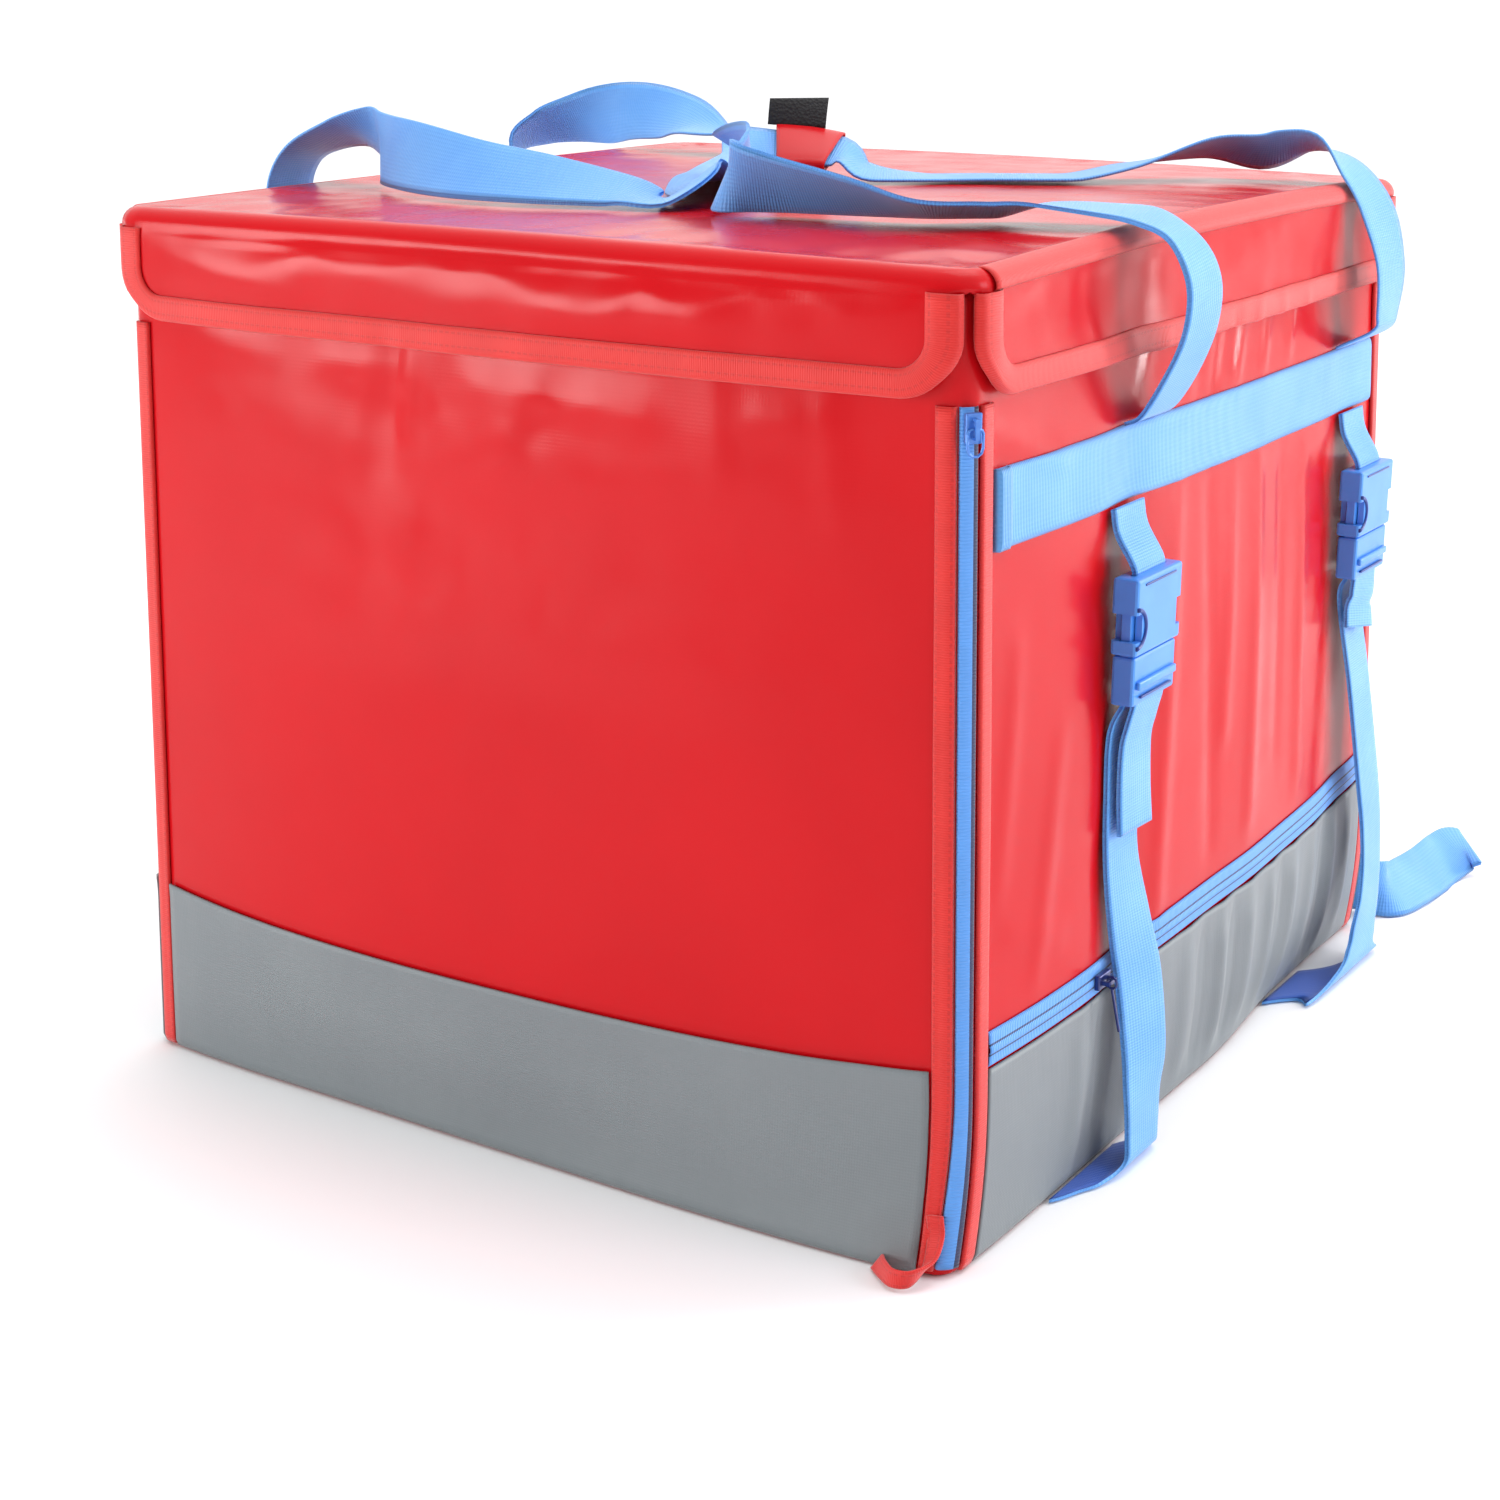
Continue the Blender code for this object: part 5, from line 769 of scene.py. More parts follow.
finishes = {
    "redCloth": tarpaulin("red_pvc_tarpaulin", "#CF1019", "#BC0B14"),
    "lidCloth": tarpaulin("red_pvc_tarpaulin_lid", "#CF1019", "#BC0B14", 0.15),
    "greyCloth": oxfordCloth("grey_oxford_polyester", "#7F8689", "#72797D"),
    "redTape": bindingTape("red_grosgrain_tape", "#E0221A", "#C81712"),
    "blueWebbing": webbing("blue_polypropylene_webbing", "#70B5F6", "#4F98EC"),
    "hemWebbing": webbing("blue_webbing_hem", "#5DA3DE", "#4389CC"),
    # darker copy of the blue webbing for the undersides: painted shade, the webbing is one blue on both
    # sides
    "webbingPaintedShade": webbing("painted_shade_webbing_underside", "#1F5FC4", "#143F9C"),
    # each zip's dark second colour is its painted shadow line beside the teeth
    "baseZip": zipTape("blue_zip_tape_with_coil", "#58A2F4", "#16356E", 0.0026, 0.0010, True),
    "cornerZip": zipTape("blue_zip_tape_upright", "#5AA0F0", "#141F4C", 0.0028, 0.0026, False),
    "buckle": mouldedAcetal("blue_moulded_acetal", "#4C98EE", "#3D86E0"),
    # dark finish painting the shadow in the buckle slots and at the side opening's edge
    "slotShade": mouldedAcetal("painted_shadow_buckle_slots", "#1B3F92", "#14307A"),
    "cornerSlider": enamelledZinc("blue_enamelled_zinc", "#5C9BE8", "#2C5CB8"),
    "slider": enamelledZinc("navy_enamelled_zinc", "#152C7C", "#0E1D55"),
    "hooks": hookTape("black_nylon_hook_tape", "#1B1A1C", "#0A0A0B"),
    "lining": foilLining("silver_foil_lining", "#D6D8DA", "#A9ACAF"),
}
print("finishes ready")


# Body: one loop of coated cloth over foam, rolled in at the foot, open under the lid
body = {"columns": 440, "rows": 84, "wall": 0.009}


# side, share and arc length of a place round the bag, from 0 to 1
def roundTheBag(u):
    straights = [2 * (size - bag["corner"]) for size in halfSizes(0.0)] * 2
    place = u * (sum(straights) + 4 * cornerArc())
    for side, straight in enumerate(straights):
        if place <= straight:
            return side, 2 * place / straight - 1, 0.0
        place -= straight
        if place <= cornerArc():
            return side, 1.0, place
        place -= cornerArc()
    return front, -1.0, 0.0


def bodyPlace(u, v):
    side, share, edge = roundTheBag(u)
    rim = bag["height"] - bag["lidWall"]
    top = skin(side, share, edge, rim, 0.0)
    rim += crown(top.x, top.y) - bag["fit"]
    rollShare = 0.05
    if v < rollShare:
        z = bag["roll"] * (1 - math.cos(math.pi / 2 * v / rollShare))
    else:
        z = bag["roll"] + (rim - bag["roll"]) * (v - rollShare) / (1 - rollShare)
    return skin(side, share, edge, z, 0.0)


def bodyFlat(u, v):
    return u * 2 * (bag["width"] + bag["depth"]), v * bag["height"]


shell = layOut(body["columns"], body["rows"], bodyPlace, bodyFlat)
closeSeam(shell)
floorEdges = [edge for edge in shell.edges if edge.is_boundary
              and max(vert.co.z for vert in edge.verts) < bag["roll"] / 10]
bmesh.ops.holes_fill(shell, edges=floorEdges, sides=0)
for face in shell.faces:
    if len(face.verts) > 4 and face.normal.z > 0:
        face.normal_flip()
bodyPiece = makePiece("body_cloth", shell, finishes["redCloth"], "body_shell",
                      body["wall"], finishes["lining"])
print("body ready")

# Grey cloth round the lower part, a sheet on each side between the bindings
baseBand = {
    "cloth": 0.0012, "top": 0.100, "sag": 0.007, "foot": 0.0012, "zipWidth": 0.018,
    "zipLine": 0.106, "zipSag": 0.003, "zipRise": 0.009, "rows": 26, "foldRise": 0.0038,
}
bandEnds = {front: (0.0047, -0.0047), harness: (0.0102, -0.0102), back: (-0.0164, -0.0047),
            left: (-0.0118, 0.0118)}
# vertical folds of the harness side's grey cloth: place along the side, width and rise as shares
clothFolds = ((-0.62, 0.016, 0.5), (-0.50, 0.022, -0.4), (-0.36, 0.014, 0.7), (-0.12, 0.020, 0.7),
              (-0.04, 0.012, -0.5), (0.05, 0.015, 1.0), (0.12, 0.010, -0.6), (0.20, 0.018, 0.9),
              (0.33, 0.014, 0.8), (0.40, 0.010, -0.6), (0.47, 0.014, 0.9), (0.60, 0.012, 0.6),
              (0.68, 0.010, -0.5), (0.75, 0.014, 0.8), (0.87, 0.012, 0.5))


def baseZipLine(share):
    sag = baseBand["zipSag"] * (1 - abs(share) ** 4)
    return baseBand["zipLine"] - sag + baseBand["zipRise"] * (share + 1) / 2


def bandTop(side):
    if side == harness:
        return lambda share: baseZipLine(share) - baseBand["zipWidth"] / 2 - bag["fit"]
    return lambda share: baseBand["top"] - baseBand["sag"] * (1 - abs(share) ** 2.5)


def bandLift(side):
    def lift(share, z, u, v):
        value = bag["clothLift"] + baseBand["cloth"]
        hem = math.exp(-((1 - v) * 90 / 4) ** 2) * 0.0005
        if side != harness:
            return value + hem
        fade = ease(0.0, 0.30, v) * (1 - 0.75 * ease(0.72, 1.0, v))
        rise = 0.0
        for place, width, share2 in clothFolds:
            slant = place + 0.03 * (v - 0.5)
            rise += share2 * math.exp(-((share - slant) / width / 2) ** 2)
        return value + max(baseBand["foldRise"] * fade * rise, -0.0009)
    return lift


for side, (start, end) in bandEnds.items():
    columns = 260 if side == harness else 110
    cloth = sideStrip(side, start, end, lambda share: baseBand["foot"], bandTop(side),
                      bandLift(side), columns, baseBand["rows"])
    piece = makePiece(f"base_cloth_{sideNames[side]}", cloth, finishes["greyCloth"],
                      f"base_band_{sideNames[side]}", baseBand["cloth"])
    bandTop(side)(0.0) - baseBand["foot"]
print("grey cloth ready")

# Lid: a square of padded cloth whose four arms fold down as skirts
lid = {"topCells": 84, "rollCells": 6, "skirtCells": 26, "skirtWall": 0.003, "seamAt": 0.0135,
       "seamRise": 0.0004, "pucker": 0.0016, "puff": 0.0024}
lidStart = bag["height"] - bag["lidRoll"]


def skirtRumple(side, across, z):
    down = (lidStart - z) / (lidStart - bag["height"] + bag["skirtDepth"])
    down = min(max(down, 0.0), 1.0)
    pulled = noise.noise(Vector((across / 0.055, side * 7.3, down * 1.3)))
    sharp = noise.noise(Vector((across / 0.022, side * 3.1, down * 2.1)))
    fade = ease(0.0, 0.18, down) * (1 - ease(0.70, 0.97, down))
    if side in (harness, left):
        return lid["pucker"] * fade * (1.1 * pulled + 0.5 * sharp)
    reach = 0.20 + 0.50 * abs(noise.noise(Vector((across / 0.075 + 0.6, side * 7.3, 0.4))))
    puff = min(down / reach, (1 - down) / (1 - reach))
    return lid["puff"] * ease(0.0, 1.0, puff) + lid["pucker"] * fade * (0.5 * pulled + 0.3 * sharp)


def seamRidge(z):
    below = bag["height"] - z
    ridge = math.exp(-((below - lid["seamAt"]) / 0.0013) ** 2)
    groove = math.exp(-((below - lid["seamAt"] + 0.0032) / 0.0013) ** 2)
    return lid["seamRise"] * (ridge - 0.8 * groove)


def lidPoint(side, share, edge, z, lift):
    inset = 0.0
    if z > lidStart:
        rise = min((z - lidStart) / bag["lidRoll"], 1.0)
        inset = bag["lidRoll"] * (1 - math.sqrt(max(1 - rise * rise, 0.0)))
    point = skin(side, share, edge, z, lift + bag["overhang"] - inset)
    halfAlong = halfSizes(z)[0 if side in (front, back) else 1]
    across = share * (halfAlong - bag["corner"]) + edge
    ends = max(1 - abs(share) ** 6, 0.0)
    shift = folds(skirtDents, side, across / halfAlong, z) * ends
    shift += skirtRumple(side, across, z) * ends
    if side in (front, back):
        shift += seamRidge(z) * ends
    point += outward(side, share, edge, z) * shift
    point.z += crown(point.x, point.y) * ease(bag["height"] - bag["skirtDepth"], bag["height"], z)
    return point


def skirtReach():
    return cornerArc() / 2 - bag["skirtGap"] / 2


def skirtLow(share, edge, side):
    straight = halfSizes(bag["height"])[0 if side in (front, back) else 1] - bag["corner"]
    past = abs(share * straight + edge) - (straight + skirtReach() - bag["skirtCorner"])
    rise = 0.0
    if past > 0:
        past = min(past, bag["skirtCorner"] * 0.999)
        rise = bag["skirtCorner"] - math.sqrt(bag["skirtCorner"] ** 2 - past ** 2)
    return bag["height"] - bag["skirtDepth"] + rise


# share and arc length of a place from -1 to 1 along a skirt that reaches that far round its corners
def alongSkirt(side, value, reach):
    straight = halfSizes(bag["height"])[0 if side in (front, back) else 1] - bag["corner"]
    across = value * (straight + reach)
    if abs(across) <= straight:
        return across / straight, 0.0
    return math.copysign(1.0, across), math.copysign(abs(across) - straight, across)


# dents of the padded top, only inwards so that the loops lie clear of it
def topDent(x, y):
    edgeX = halfSizes(bag["height"])[0] - abs(x)
    edgeY = halfSizes(bag["height"])[1] - abs(y)
    nearEdge = math.exp(-min(edgeX, edgeY) / 0.045)
    inner = ease(0.0, 0.012, min(edgeX, edgeY))
    along = x if edgeY < edgeX else y
    tucks = abs(noise.noise(Vector((along / 0.032, min(edgeX, edgeY) / 0.11, 4.2))))
    broad = abs(noise.noise(Vector((x / 0.13, y / 0.13, 1.7))))
    return -inner * (0.0026 * tucks * nearEdge + 0.0012 * broad)


def lidTop(a, b):
    reach = max(abs(a), abs(b), 1e-6)
    side = front if b <= -abs(a) else harness if a >= abs(b) else back if b >= abs(a) else left
    value = {front: a, harness: b, back: -a, left: -b}[side] / reach
    share, edge = alongSkirt(side, value, cornerArc() / 2)
    rim = lidPoint(side, share, edge, bag["height"], 0.0)
    x, y = rim.x * reach, rim.y * reach
    level = ease(0.86, 1.0, reach)
    return Vector((x, y, (bag["height"] + crown(x, y)) * (1 - level) + rim.z * level + topDent(x, y)))


def lidArm(side, value, down):
    if down <= lid["rollCells"]:
        angle = math.pi / 2 * (1 - down / lid["rollCells"])
        z = lidStart + bag["lidRoll"] * math.sin(angle)
        share, edge = alongSkirt(side, value, cornerArc() / 2)
        return lidPoint(side, share, edge, z, 0.0)
    part = (down - lid["rollCells"]) / lid["skirtCells"]
    reach = cornerArc() / 2 - bag["skirtGap"] / 2 * ease(0.0, 0.12, part)
    share, edge = alongSkirt(side, value, reach)
    low = skirtLow(share, edge, side)
    return lidPoint(side, share, edge, lidStart + (low - lidStart) * part, 0.0)


lidArms = lid["rollCells"] + lid["skirtCells"]
lidCells = lid["topCells"] + 2 * lidArms


def lidPlace(u, v):
    i, j = round(u * lidCells) - lidArms, round(v * lidCells) - lidArms
    top = lid["topCells"]
    a, b = 2 * i / top - 1, 2 * j / top - 1
    if j < 0 and 0 <= i <= top:
        return lidArm(front, a, -j)
    if i > top and 0 <= j <= top:
        return lidArm(harness, b, i - top)
    if j > top and 0 <= i <= top:
        return lidArm(back, -a, j - top)
    if i < 0 and 0 <= j <= top:
        return lidArm(left, -b, -i)
    return lidTop(min(max(a, -1), 1), min(max(b, -1), 1))


def lidFlat(u, v):
    return [(share - 0.5) * (bag[size] + 2 * bag["skirtDepth"])
            for share, size in ((u, "width"), (v, "depth"))]


lidCloth = layOut(lidCells, lidCells, lidPlace, lidFlat)
uvLayer = lidCloth.loops.layers.uv.active
corners = []
for face in lidCloth.faces:
    middle = [sum(loop[uvLayer].uv[axis] for loop in face.loops) / 4 for axis in (0, 1)]
    cells = [abs(middle[0]) / (bag["width"] + 2 * bag["skirtDepth"]),
             abs(middle[1]) / (bag["depth"] + 2 * bag["skirtDepth"])]
    if min(cells) * lidCells > lid["topCells"] / 2:
        corners.append(face)
bmesh.ops.delete(lidCloth, geom=corners, context="FACES")
closeSeam(lidCloth)
lidPiece = makePiece("lid_cloth", lidCloth, finishes["lidCloth"], "lid",
                     bag["lidWall"], finishes["lining"])
padGroup = lidPiece.vertex_groups.new(name="padded")
padGroup.add([vert.index for vert in lidPiece.data.vertices if vert.co.z > bag["height"] - 0.0005],
             1.0, "REPLACE")
lidPiece.modifiers["wall"].vertex_group = "padded"
lidPiece.modifiers["wall"].thickness_vertex_group = lid["skirtWall"] / bag["lidWall"]
print("lid ready")

# Tape round each skirt's free edge and folded over the lid's top edge on two sides
tape = {"width": 0.012, "thick": 0.001, "upright": 0.0018}


def skirtEdge(side, value):
    straight = halfSizes(bag["height"])[0 if side in (front, back) else 1] - bag["corner"]
    high, bend = lidStart - 0.001, bag["height"] - bag["skirtDepth"] + bag["skirtCorner"]
    arc = bag["skirtCorner"] * math.pi / 2
    run = straight + skirtReach() - bag["skirtCorner"]
    total = run + arc + high - bend
    place = abs(value) * total
    sign = math.copysign(1.0, value)
    if place <= run:
        across, z, inward = place, bag["height"] - bag["skirtDepth"], (0.0, 1.0)
    elif place <= run + arc:
        angle = (place - run) / bag["skirtCorner"]
        across = run + bag["skirtCorner"] * math.sin(angle)
        z = bend - bag["skirtCorner"] * math.cos(angle)
        inward = (-sign * math.sin(angle), math.cos(angle))
    else:
        across, z, inward = straight + skirtReach(), bend + place - run - arc, (-sign, 0.0)
    return sign * across, z, inward, straight, total


def skirtBinding(side):
    fit, wall = bag["fit"], lid["skirtWall"]
    profile = through([(0.7 * tape["width"], -wall - fit, 0), (0.2 * tape["width"], -wall - fit, 0),
                       (0.0, -wall - fit, 0), (-1.9 * fit, -wall * 0.75, 0), (-2.3 * fit, -wall / 2, 0),
                       (-1.9 * fit, 0.1 * fit, 0), (0.0, 1.3 * fit + tape["thick"], 0),
                       (0.15 * tape["width"], 1.9 * fit + tape["thick"], 0),
                       (0.85 * tape["width"], 1.6 * fit + tape["thick"], 0),
                       (tape["width"], 0.8 * fit, 0)], 2)
    rows = len(profile) - 1

    def place(u, v):
        across, z, inward, straight, total = skirtEdge(side, 2 * u - 1)
        step = profile[round(v * rows)]
        across += inward[0] * step.x
        z += inward[1] * step.x
        share = min(max(across / straight, -1.0), 1.0)
        return lidPoint(side, share, across - share * straight, z, step.y)

    def flat(u, v):
        step = profile[round(v * rows)]
        return step.x - tape["width"] / 2, (u - 0.5) * 2 * skirtEdge(side, 0.0)[4]

    return layOut(150, rows, place, flat)


def lidEdgeTape(side):
    def place(u, v):
        angle = math.radians(-6 + 94 * v)
        z = lidStart + bag["lidRoll"] * math.sin(angle)
        rounding = max(1 - abs(2 * v - 1) ** 5, 0.0) ** 0.5
        share, edge = alongSkirt(side, 2 * u - 1, bag["fit"])
        return lidPoint(side, share, edge, z, bag["fit"] + tape["thick"] * 1.3 * rounding)

    def flat(u, v):
        return (v - 0.5) * tape["width"] * 1.2, u * bag["depth"]

    return layOut(120, 12, place, flat)


for side in range(4):
    name = f"lid_binding_{sideNames[side]}"
    makePiece(f"{name}_tape", skirtBinding(side), finishes["redTape"], name, 0.0006)
for side in (harness, left):
    name = f"lid_edge_tape_{sideNames[side]}"
    makePiece(f"{name}_cloth", lidEdgeTape(side), finishes["redTape"], name, 0.0006)

uprights = (
    ("front_binding_near", front, 1, -0.0040, 0.0060, 0.0040),
    ("front_binding_left", front, -1, -0.0040, 0.0060, 0.0020),
    ("harness_binding_near", harness, -1, -0.0095, 0.0015, 0.0020),
    ("harness_binding_far", harness, 1, -0.0095, 0.0015, 0.0020),
    ("rear_binding", back, 1, -0.0040, 0.0060, 0.0020),
)
tapeTop = bag["height"] - bag["skirtDepth"] - 0.004
for name, side, end, inner, outer, foot in uprights:
    flare = (0.0, -0.0022) if name == "front_binding_near" else (0.0, 0.0)
    strip = edgeTape(side, end, inner, outer, foot, tapeTop, tape["upright"], 12, 110, flare)
    makePiece(f"{name}_tape", strip, finishes["redTape"], name, 0.0006)
print("bindings ready")

# Zips: the upright one at the near corner and the level one over the grey cloth
zips = {"start": 0.0067, "end": 0.0158, "thick": 0.0014, "margin": 0.0102, "coil": 0.0008}
upright = edgeTape(front, 1, zips["start"], zips["end"], bag["roll"], tapeTop, zips["thick"], 12, 130,
                   (-0.0026, 0.0004))
makePiece("corner_zip_cloth", upright, finishes["cornerZip"], "corner_zip_tape", 0.0006)


def zipLift(share, z, u, v):
    rounding = max(1 - abs(2 * v - 1) ** 7, 0.0) ** 0.5
    coil = math.exp(-((v - 0.5) * baseBand["zipWidth"] / 0.0021) ** 4) * zips["coil"]
    return bag["fit"] + zips["thick"] * rounding + coil


half = baseBand["zipWidth"] / 2
level = sideStrip(harness, zips["margin"], -zips["margin"], lambda share: baseZipLine(share) - half,
                  lambda share: baseZipLine(share) + half, zipLift, 160, 16)
uvLayer = level.loops.layers.uv.active
for face in level.faces:
    for loop in face.loops:
        along, across = loop[uvLayer].uv
        loop[uvLayer].uv = (across - half, along)
makePiece("base_zip_cloth", level, finishes["baseZip"], "base_zip_tape", 0.0006)
for name in ("corner_zip_slider", "corner_zip_pull", "base_zip_slider", "base_zip_pull"):
    for place in nodes[name].material_slots:
        place.material = finishes["cornerSlider" if name.startswith("corner") else "slider"]
print("zips ready")

# Level webbing bands on two sides, and the near band's folded end
bands = {"nearEnd": -0.2475, "farEnd": 0.2485, "hem": 0.013}


def bandStrip(side, start, end, under, thick, columns):
    straight = halfSizes(bag["bandLow"])[1] - bag["corner"]

    def place(u, v):
        share = (start + (end - start) * u) / straight
        rounding = max(1 - abs(2 * v - 1) ** 9, 0.0) ** 0.5
        z = bag["bandLow"] + bag["webbing"] * v
        sewnDown = u in (0.0, 1.0)
        return skin(side, share, 0.0, z, -0.0003 if sewnDown else under + thick * rounding)

    def flat(u, v):
        return (v - 0.5) * bag["webbing"], start + (end - start) * u

    return layOut(columns, 18, place, flat)


for name, side, start, end in (("harness_band", harness, bands["nearEnd"], bands["farEnd"]),
                               ("side_band", left, -bands["farEnd"], bands["farEnd"])):
    strip = bandStrip(side, start, end, bag["fit"], bag["webbingThick"], 150)
    makePiece(f"{name}_webbing", strip, finishes["blueWebbing"], name, 0.001)
hem = bandStrip(harness, bands["nearEnd"], bands["nearEnd"] + bands["hem"],
                bag["fit"] * 1.5 + bag["webbingThick"], bag["webbingThick"] * 0.6, 8)
makePiece("band_hem_webbing", hem, finishes["hemWebbing"], "band_hem", 0.0006)

# Carrying loops of webbing, lying over the lid as they fell
handles = {"middle": 0.057, "spacing": 0.299, "steps": 8}


def clearOut(y, z, sign, room):
    straight = halfSizes(z)[1] - bag["corner"]
    side = harness if sign > 0 else left
    lift = room + bag["webbingThick"] / 2
    if z > bag["height"] - bag["skirtDepth"] - bag["handleWebbing"] / 4:
        lift += bag["overhang"] + bag["fit"] + tape["thick"]
    places = [y + bag["handleWebbing"] * share for share in (-0.6, -0.3, 0.0, 0.3, 0.6)]
    return max(sign * skin(side, sign * place / straight, 0.0, z, lift).x for place in places)


def loopEdges(route, steps):
    centres, across = [], []
    halfOut = halfSizes(bag["height"])[0] + bag["overhang"]
    rootLevel = route[0][2]
    for out, along, height, wx, wy, wz in route:
        y = handles["middle"] + along * handles["spacing"] / 2
        if height <= 1.0:
            z = bag["bandTop"] + height * (bag["height"] - bag["bandTop"])
        else:
            z = bag["height"] + (height - 1.0) * bag["webbing"]
        x = out * halfOut
        sign = math.copysign(1.0, out)
        if height == rootLevel:
            x = sign * clearOut(y, z, sign, bag["fit"])
        elif height <= 1.0 and abs(out) >= 1.0:
            x = sign * max(abs(x), clearOut(y, z, sign, 2 * bag["fit"]))
        centres.append((x, y, z))
        across.append((wx, wy, wz))
    edges = webbingEdges(centres, across, bag["handleWebbing"], steps)
    reach = halfSizes(bag["height"])[0] - bag["corner"]
    for point in edges[0] + edges[1]:
        if abs(point.x) < reach:
            lidTopHere = bag["height"] + crown(point.x, point.y)
            point.z = max(point.z, lidTopHere + 2 * bag["fit"] + bag["webbingThick"] / 2)
    return edges


for name, route in (("handle_loop_harness", harnessLoopRoute), ("handle_loop_side", sideLoopRoute)):
    strip = webbingBetween(*loopEdges(route, handles["steps"]), bag["webbingThick"])
    makePiece(f"{name}_webbing", strip, finishes["blueWebbing"], name)
print("webbing ready")

# Padded grip wrapped round the harness loop, with its black fastening tape standing open
grip = {"wall": 0.0016, "room": 0.0020, "first": 21, "last": 22, "shorter": 0.12, "hookTape": 0.014}
gripEdges = loopEdges(harnessLoopRoute, 2)
gripStations = range(2 * grip["first"], 2 * grip["last"] + 1)
gripPlaces = [(gripEdges[0][k] + gripEdges[1][k]) / 2 for k in gripStations]
gripFlats = [(gripEdges[1][k] - gripEdges[0][k]).normalized() for k in gripStations]
gripPlaces[0] = gripPlaces[0].lerp(gripPlaces[1], grip["shorter"])
gripPlaces[-1] = gripPlaces[-1].lerp(gripPlaces[1], grip["shorter"])
gripAlong = (gripPlaces[-1] - gripPlaces[0]).normalized()
gripHalf = bag["handleWebbing"] / 2 + grip["room"]
gripRows = 16
gripPath, gripTurns = through(gripPlaces, gripRows // 2), through(gripFlats, gripRows // 2)


def gripPlace(u, v):
    k = round(v * gripRows)
    flat = gripTurns[k].normalized()
    face = flat.cross(gripAlong).normalized()
    angle = 2 * math.pi * u
    wide = math.copysign(abs(math.cos(angle)) ** 0.45, math.cos(angle))
    deep = math.copysign(abs(math.sin(angle)) ** 0.70, math.sin(angle))
    pinch = 1 - 0.10 * abs(2 * v - 1) ** 6
    thick = (bag["webbingThick"] / 2 + grip["room"] + grip["wall"]) * pinch
    return gripPath[k] + flat * wide * (gripHalf + grip["wall"]) + face * deep * thick


sleeve = layOut(64, gripRows, gripPlace, lambda u, v: (u * 0.1, v * 0.05))
closeSeam(sleeve)
bmesh.ops.recalc_face_normals(sleeve, faces=sleeve.faces)
outside = sum((face.calc_center_median() - gripPath[gripRows // 2]).dot(face.normal)
              for face in sleeve.faces)
if outside < 0:
    bmesh.ops.reverse_faces(sleeve, faces=sleeve.faces)
gripPiece = makePiece("handle_wrap_cloth", sleeve, finishes["redCloth"], "handle_wrap", grip["wall"])


def hookPlace(u, v):
    flat = gripFlats[1]
    face = flat.cross(gripAlong).normalized()
    share = -0.25 + u
    stand = grip["hookTape"] * v * (0.75 + 0.4 * share)
    rise = 0.4 * v * (1 - v) + 0.85 * v
    return (gripPlaces[0].lerp(gripPlaces[-1], share)
            - flat * (gripHalf + grip["wall"] + bag["fit"] + stand)
            + face * (0.002 + grip["hookTape"] * rise))


hookCloth = layOut(20, 10, hookPlace, lambda u, v: (u * 0.04, v * 0.011))
makePiece("wrap_hook_tape_cloth", hookCloth, finishes["hooks"], "wrap_hook_tape", 0.0011)
print("grip ready")

# Buckles with the webbing that holds them, the shoulder straps and their loose ends
straps = {
    "middle": 0.047, "spacing": 0.321, "buckleLength": 0.065, "buckleThick": 0.014,
    "buckleTop": 0.314, "standoff": 0.004, "slotDepth": 0.006, "strapSeat": 0.0040,
    "tailSeat": 0.0092, "floorRoot": 0.226, "steps": 8,
}


def buckleBack(y):
    heights = [straps["buckleTop"] - straps["buckleLength"] * k / 4 for k in range(5)]
    return max(clearX(y, z) for z in heights) + straps["standoff"]


def strapRun(route, y, seat):
    low = straps["buckleTop"] - straps["buckleLength"]
    centres = [(buckleBack(y) + seat, y, low + straps["slotDepth"] * share)
               for share in (0.8, 0.3, -0.3)]
    across = [(0.0, 1.0, 0.0)] * 3
    for down, off, drift, turn in route:
        z = low * (1 - down)
        aside = y - drift * bag["webbing"]
        centres.append((faceX(aside, max(z, bag["roll"])) + off * bag["webbing"], aside, z))
        across.append((turn, 1.0, 0.0))
    return centres, across


def buckleWebbing(y):
    start = bag["bandLow"] - bag["fit"]
    drop = start - straps["buckleTop"]
    lift = 2 * bag["fit"] + bag["webbingThick"] / 2
    middle = buckleBack(y) + straps["buckleThick"] / 2
    centres = [(clearX(y, start) + lift, y, start),
               (clearX(y, start - drop * 0.4) + 2 * lift, y, start - drop * 0.4),
               (middle - 0.001, y, straps["buckleTop"] + drop * 0.12),
               (middle, y, straps["buckleTop"] - straps["slotDepth"] * 0.8)]
    return centres, [(0.0, 1.0, 0.0)] * 4


for name, sign, strapRoute, tailRoute in (("near", -1, nearStrapRoute, nearTailRoute),
                                          ("far", 1, farStrapRoute, farTailRoute)):
    y = straps["middle"] + sign * straps["spacing"] / 2
    runs = (("shoulder_strap", strapRun(strapRoute, y, straps["strapSeat"]), False),
            ("strap_tail", strapRun(tailRoute, y, straps["tailSeat"]), True),
            ("buckle_webbing", buckleWebbing(y), True))
    for part, (centres, across), square in runs:
        edges = webbingEdges(centres, across, bag["webbing"], straps["steps"], square)
        # the -1 side takes the darker webbing copy, painted shade on the underside
        strip = webbingBetween(*edges, bag["webbingThick"], -1)
        makePiece(f"{part}_{name}_webbing", strip, finishes["blueWebbing"], f"{part}_{name}",
                  reverse=finishes["webbingPaintedShade"])
    for part in ("buckle_socket", "buckle_plug"):
        for place in nodes[f"{part}_{name}"].material_slots:
            place.material = finishes["buckle"]

# buckle details in a dark finish that paints shadow: painted shadow in the slots where the webbing goes in,
# and a rib round its side opening, painted as the opening's shadowed edge
buckle = {"width": 0.054, "slotLong": 0.037, "slotWide": 0.0012, "proud": 0.00035, "ribRadius": 0.0098,
          "ribThick": 0.0022, "openingAt": 0.0143, "barUp": 0.0085, "barWide": 0.0042}


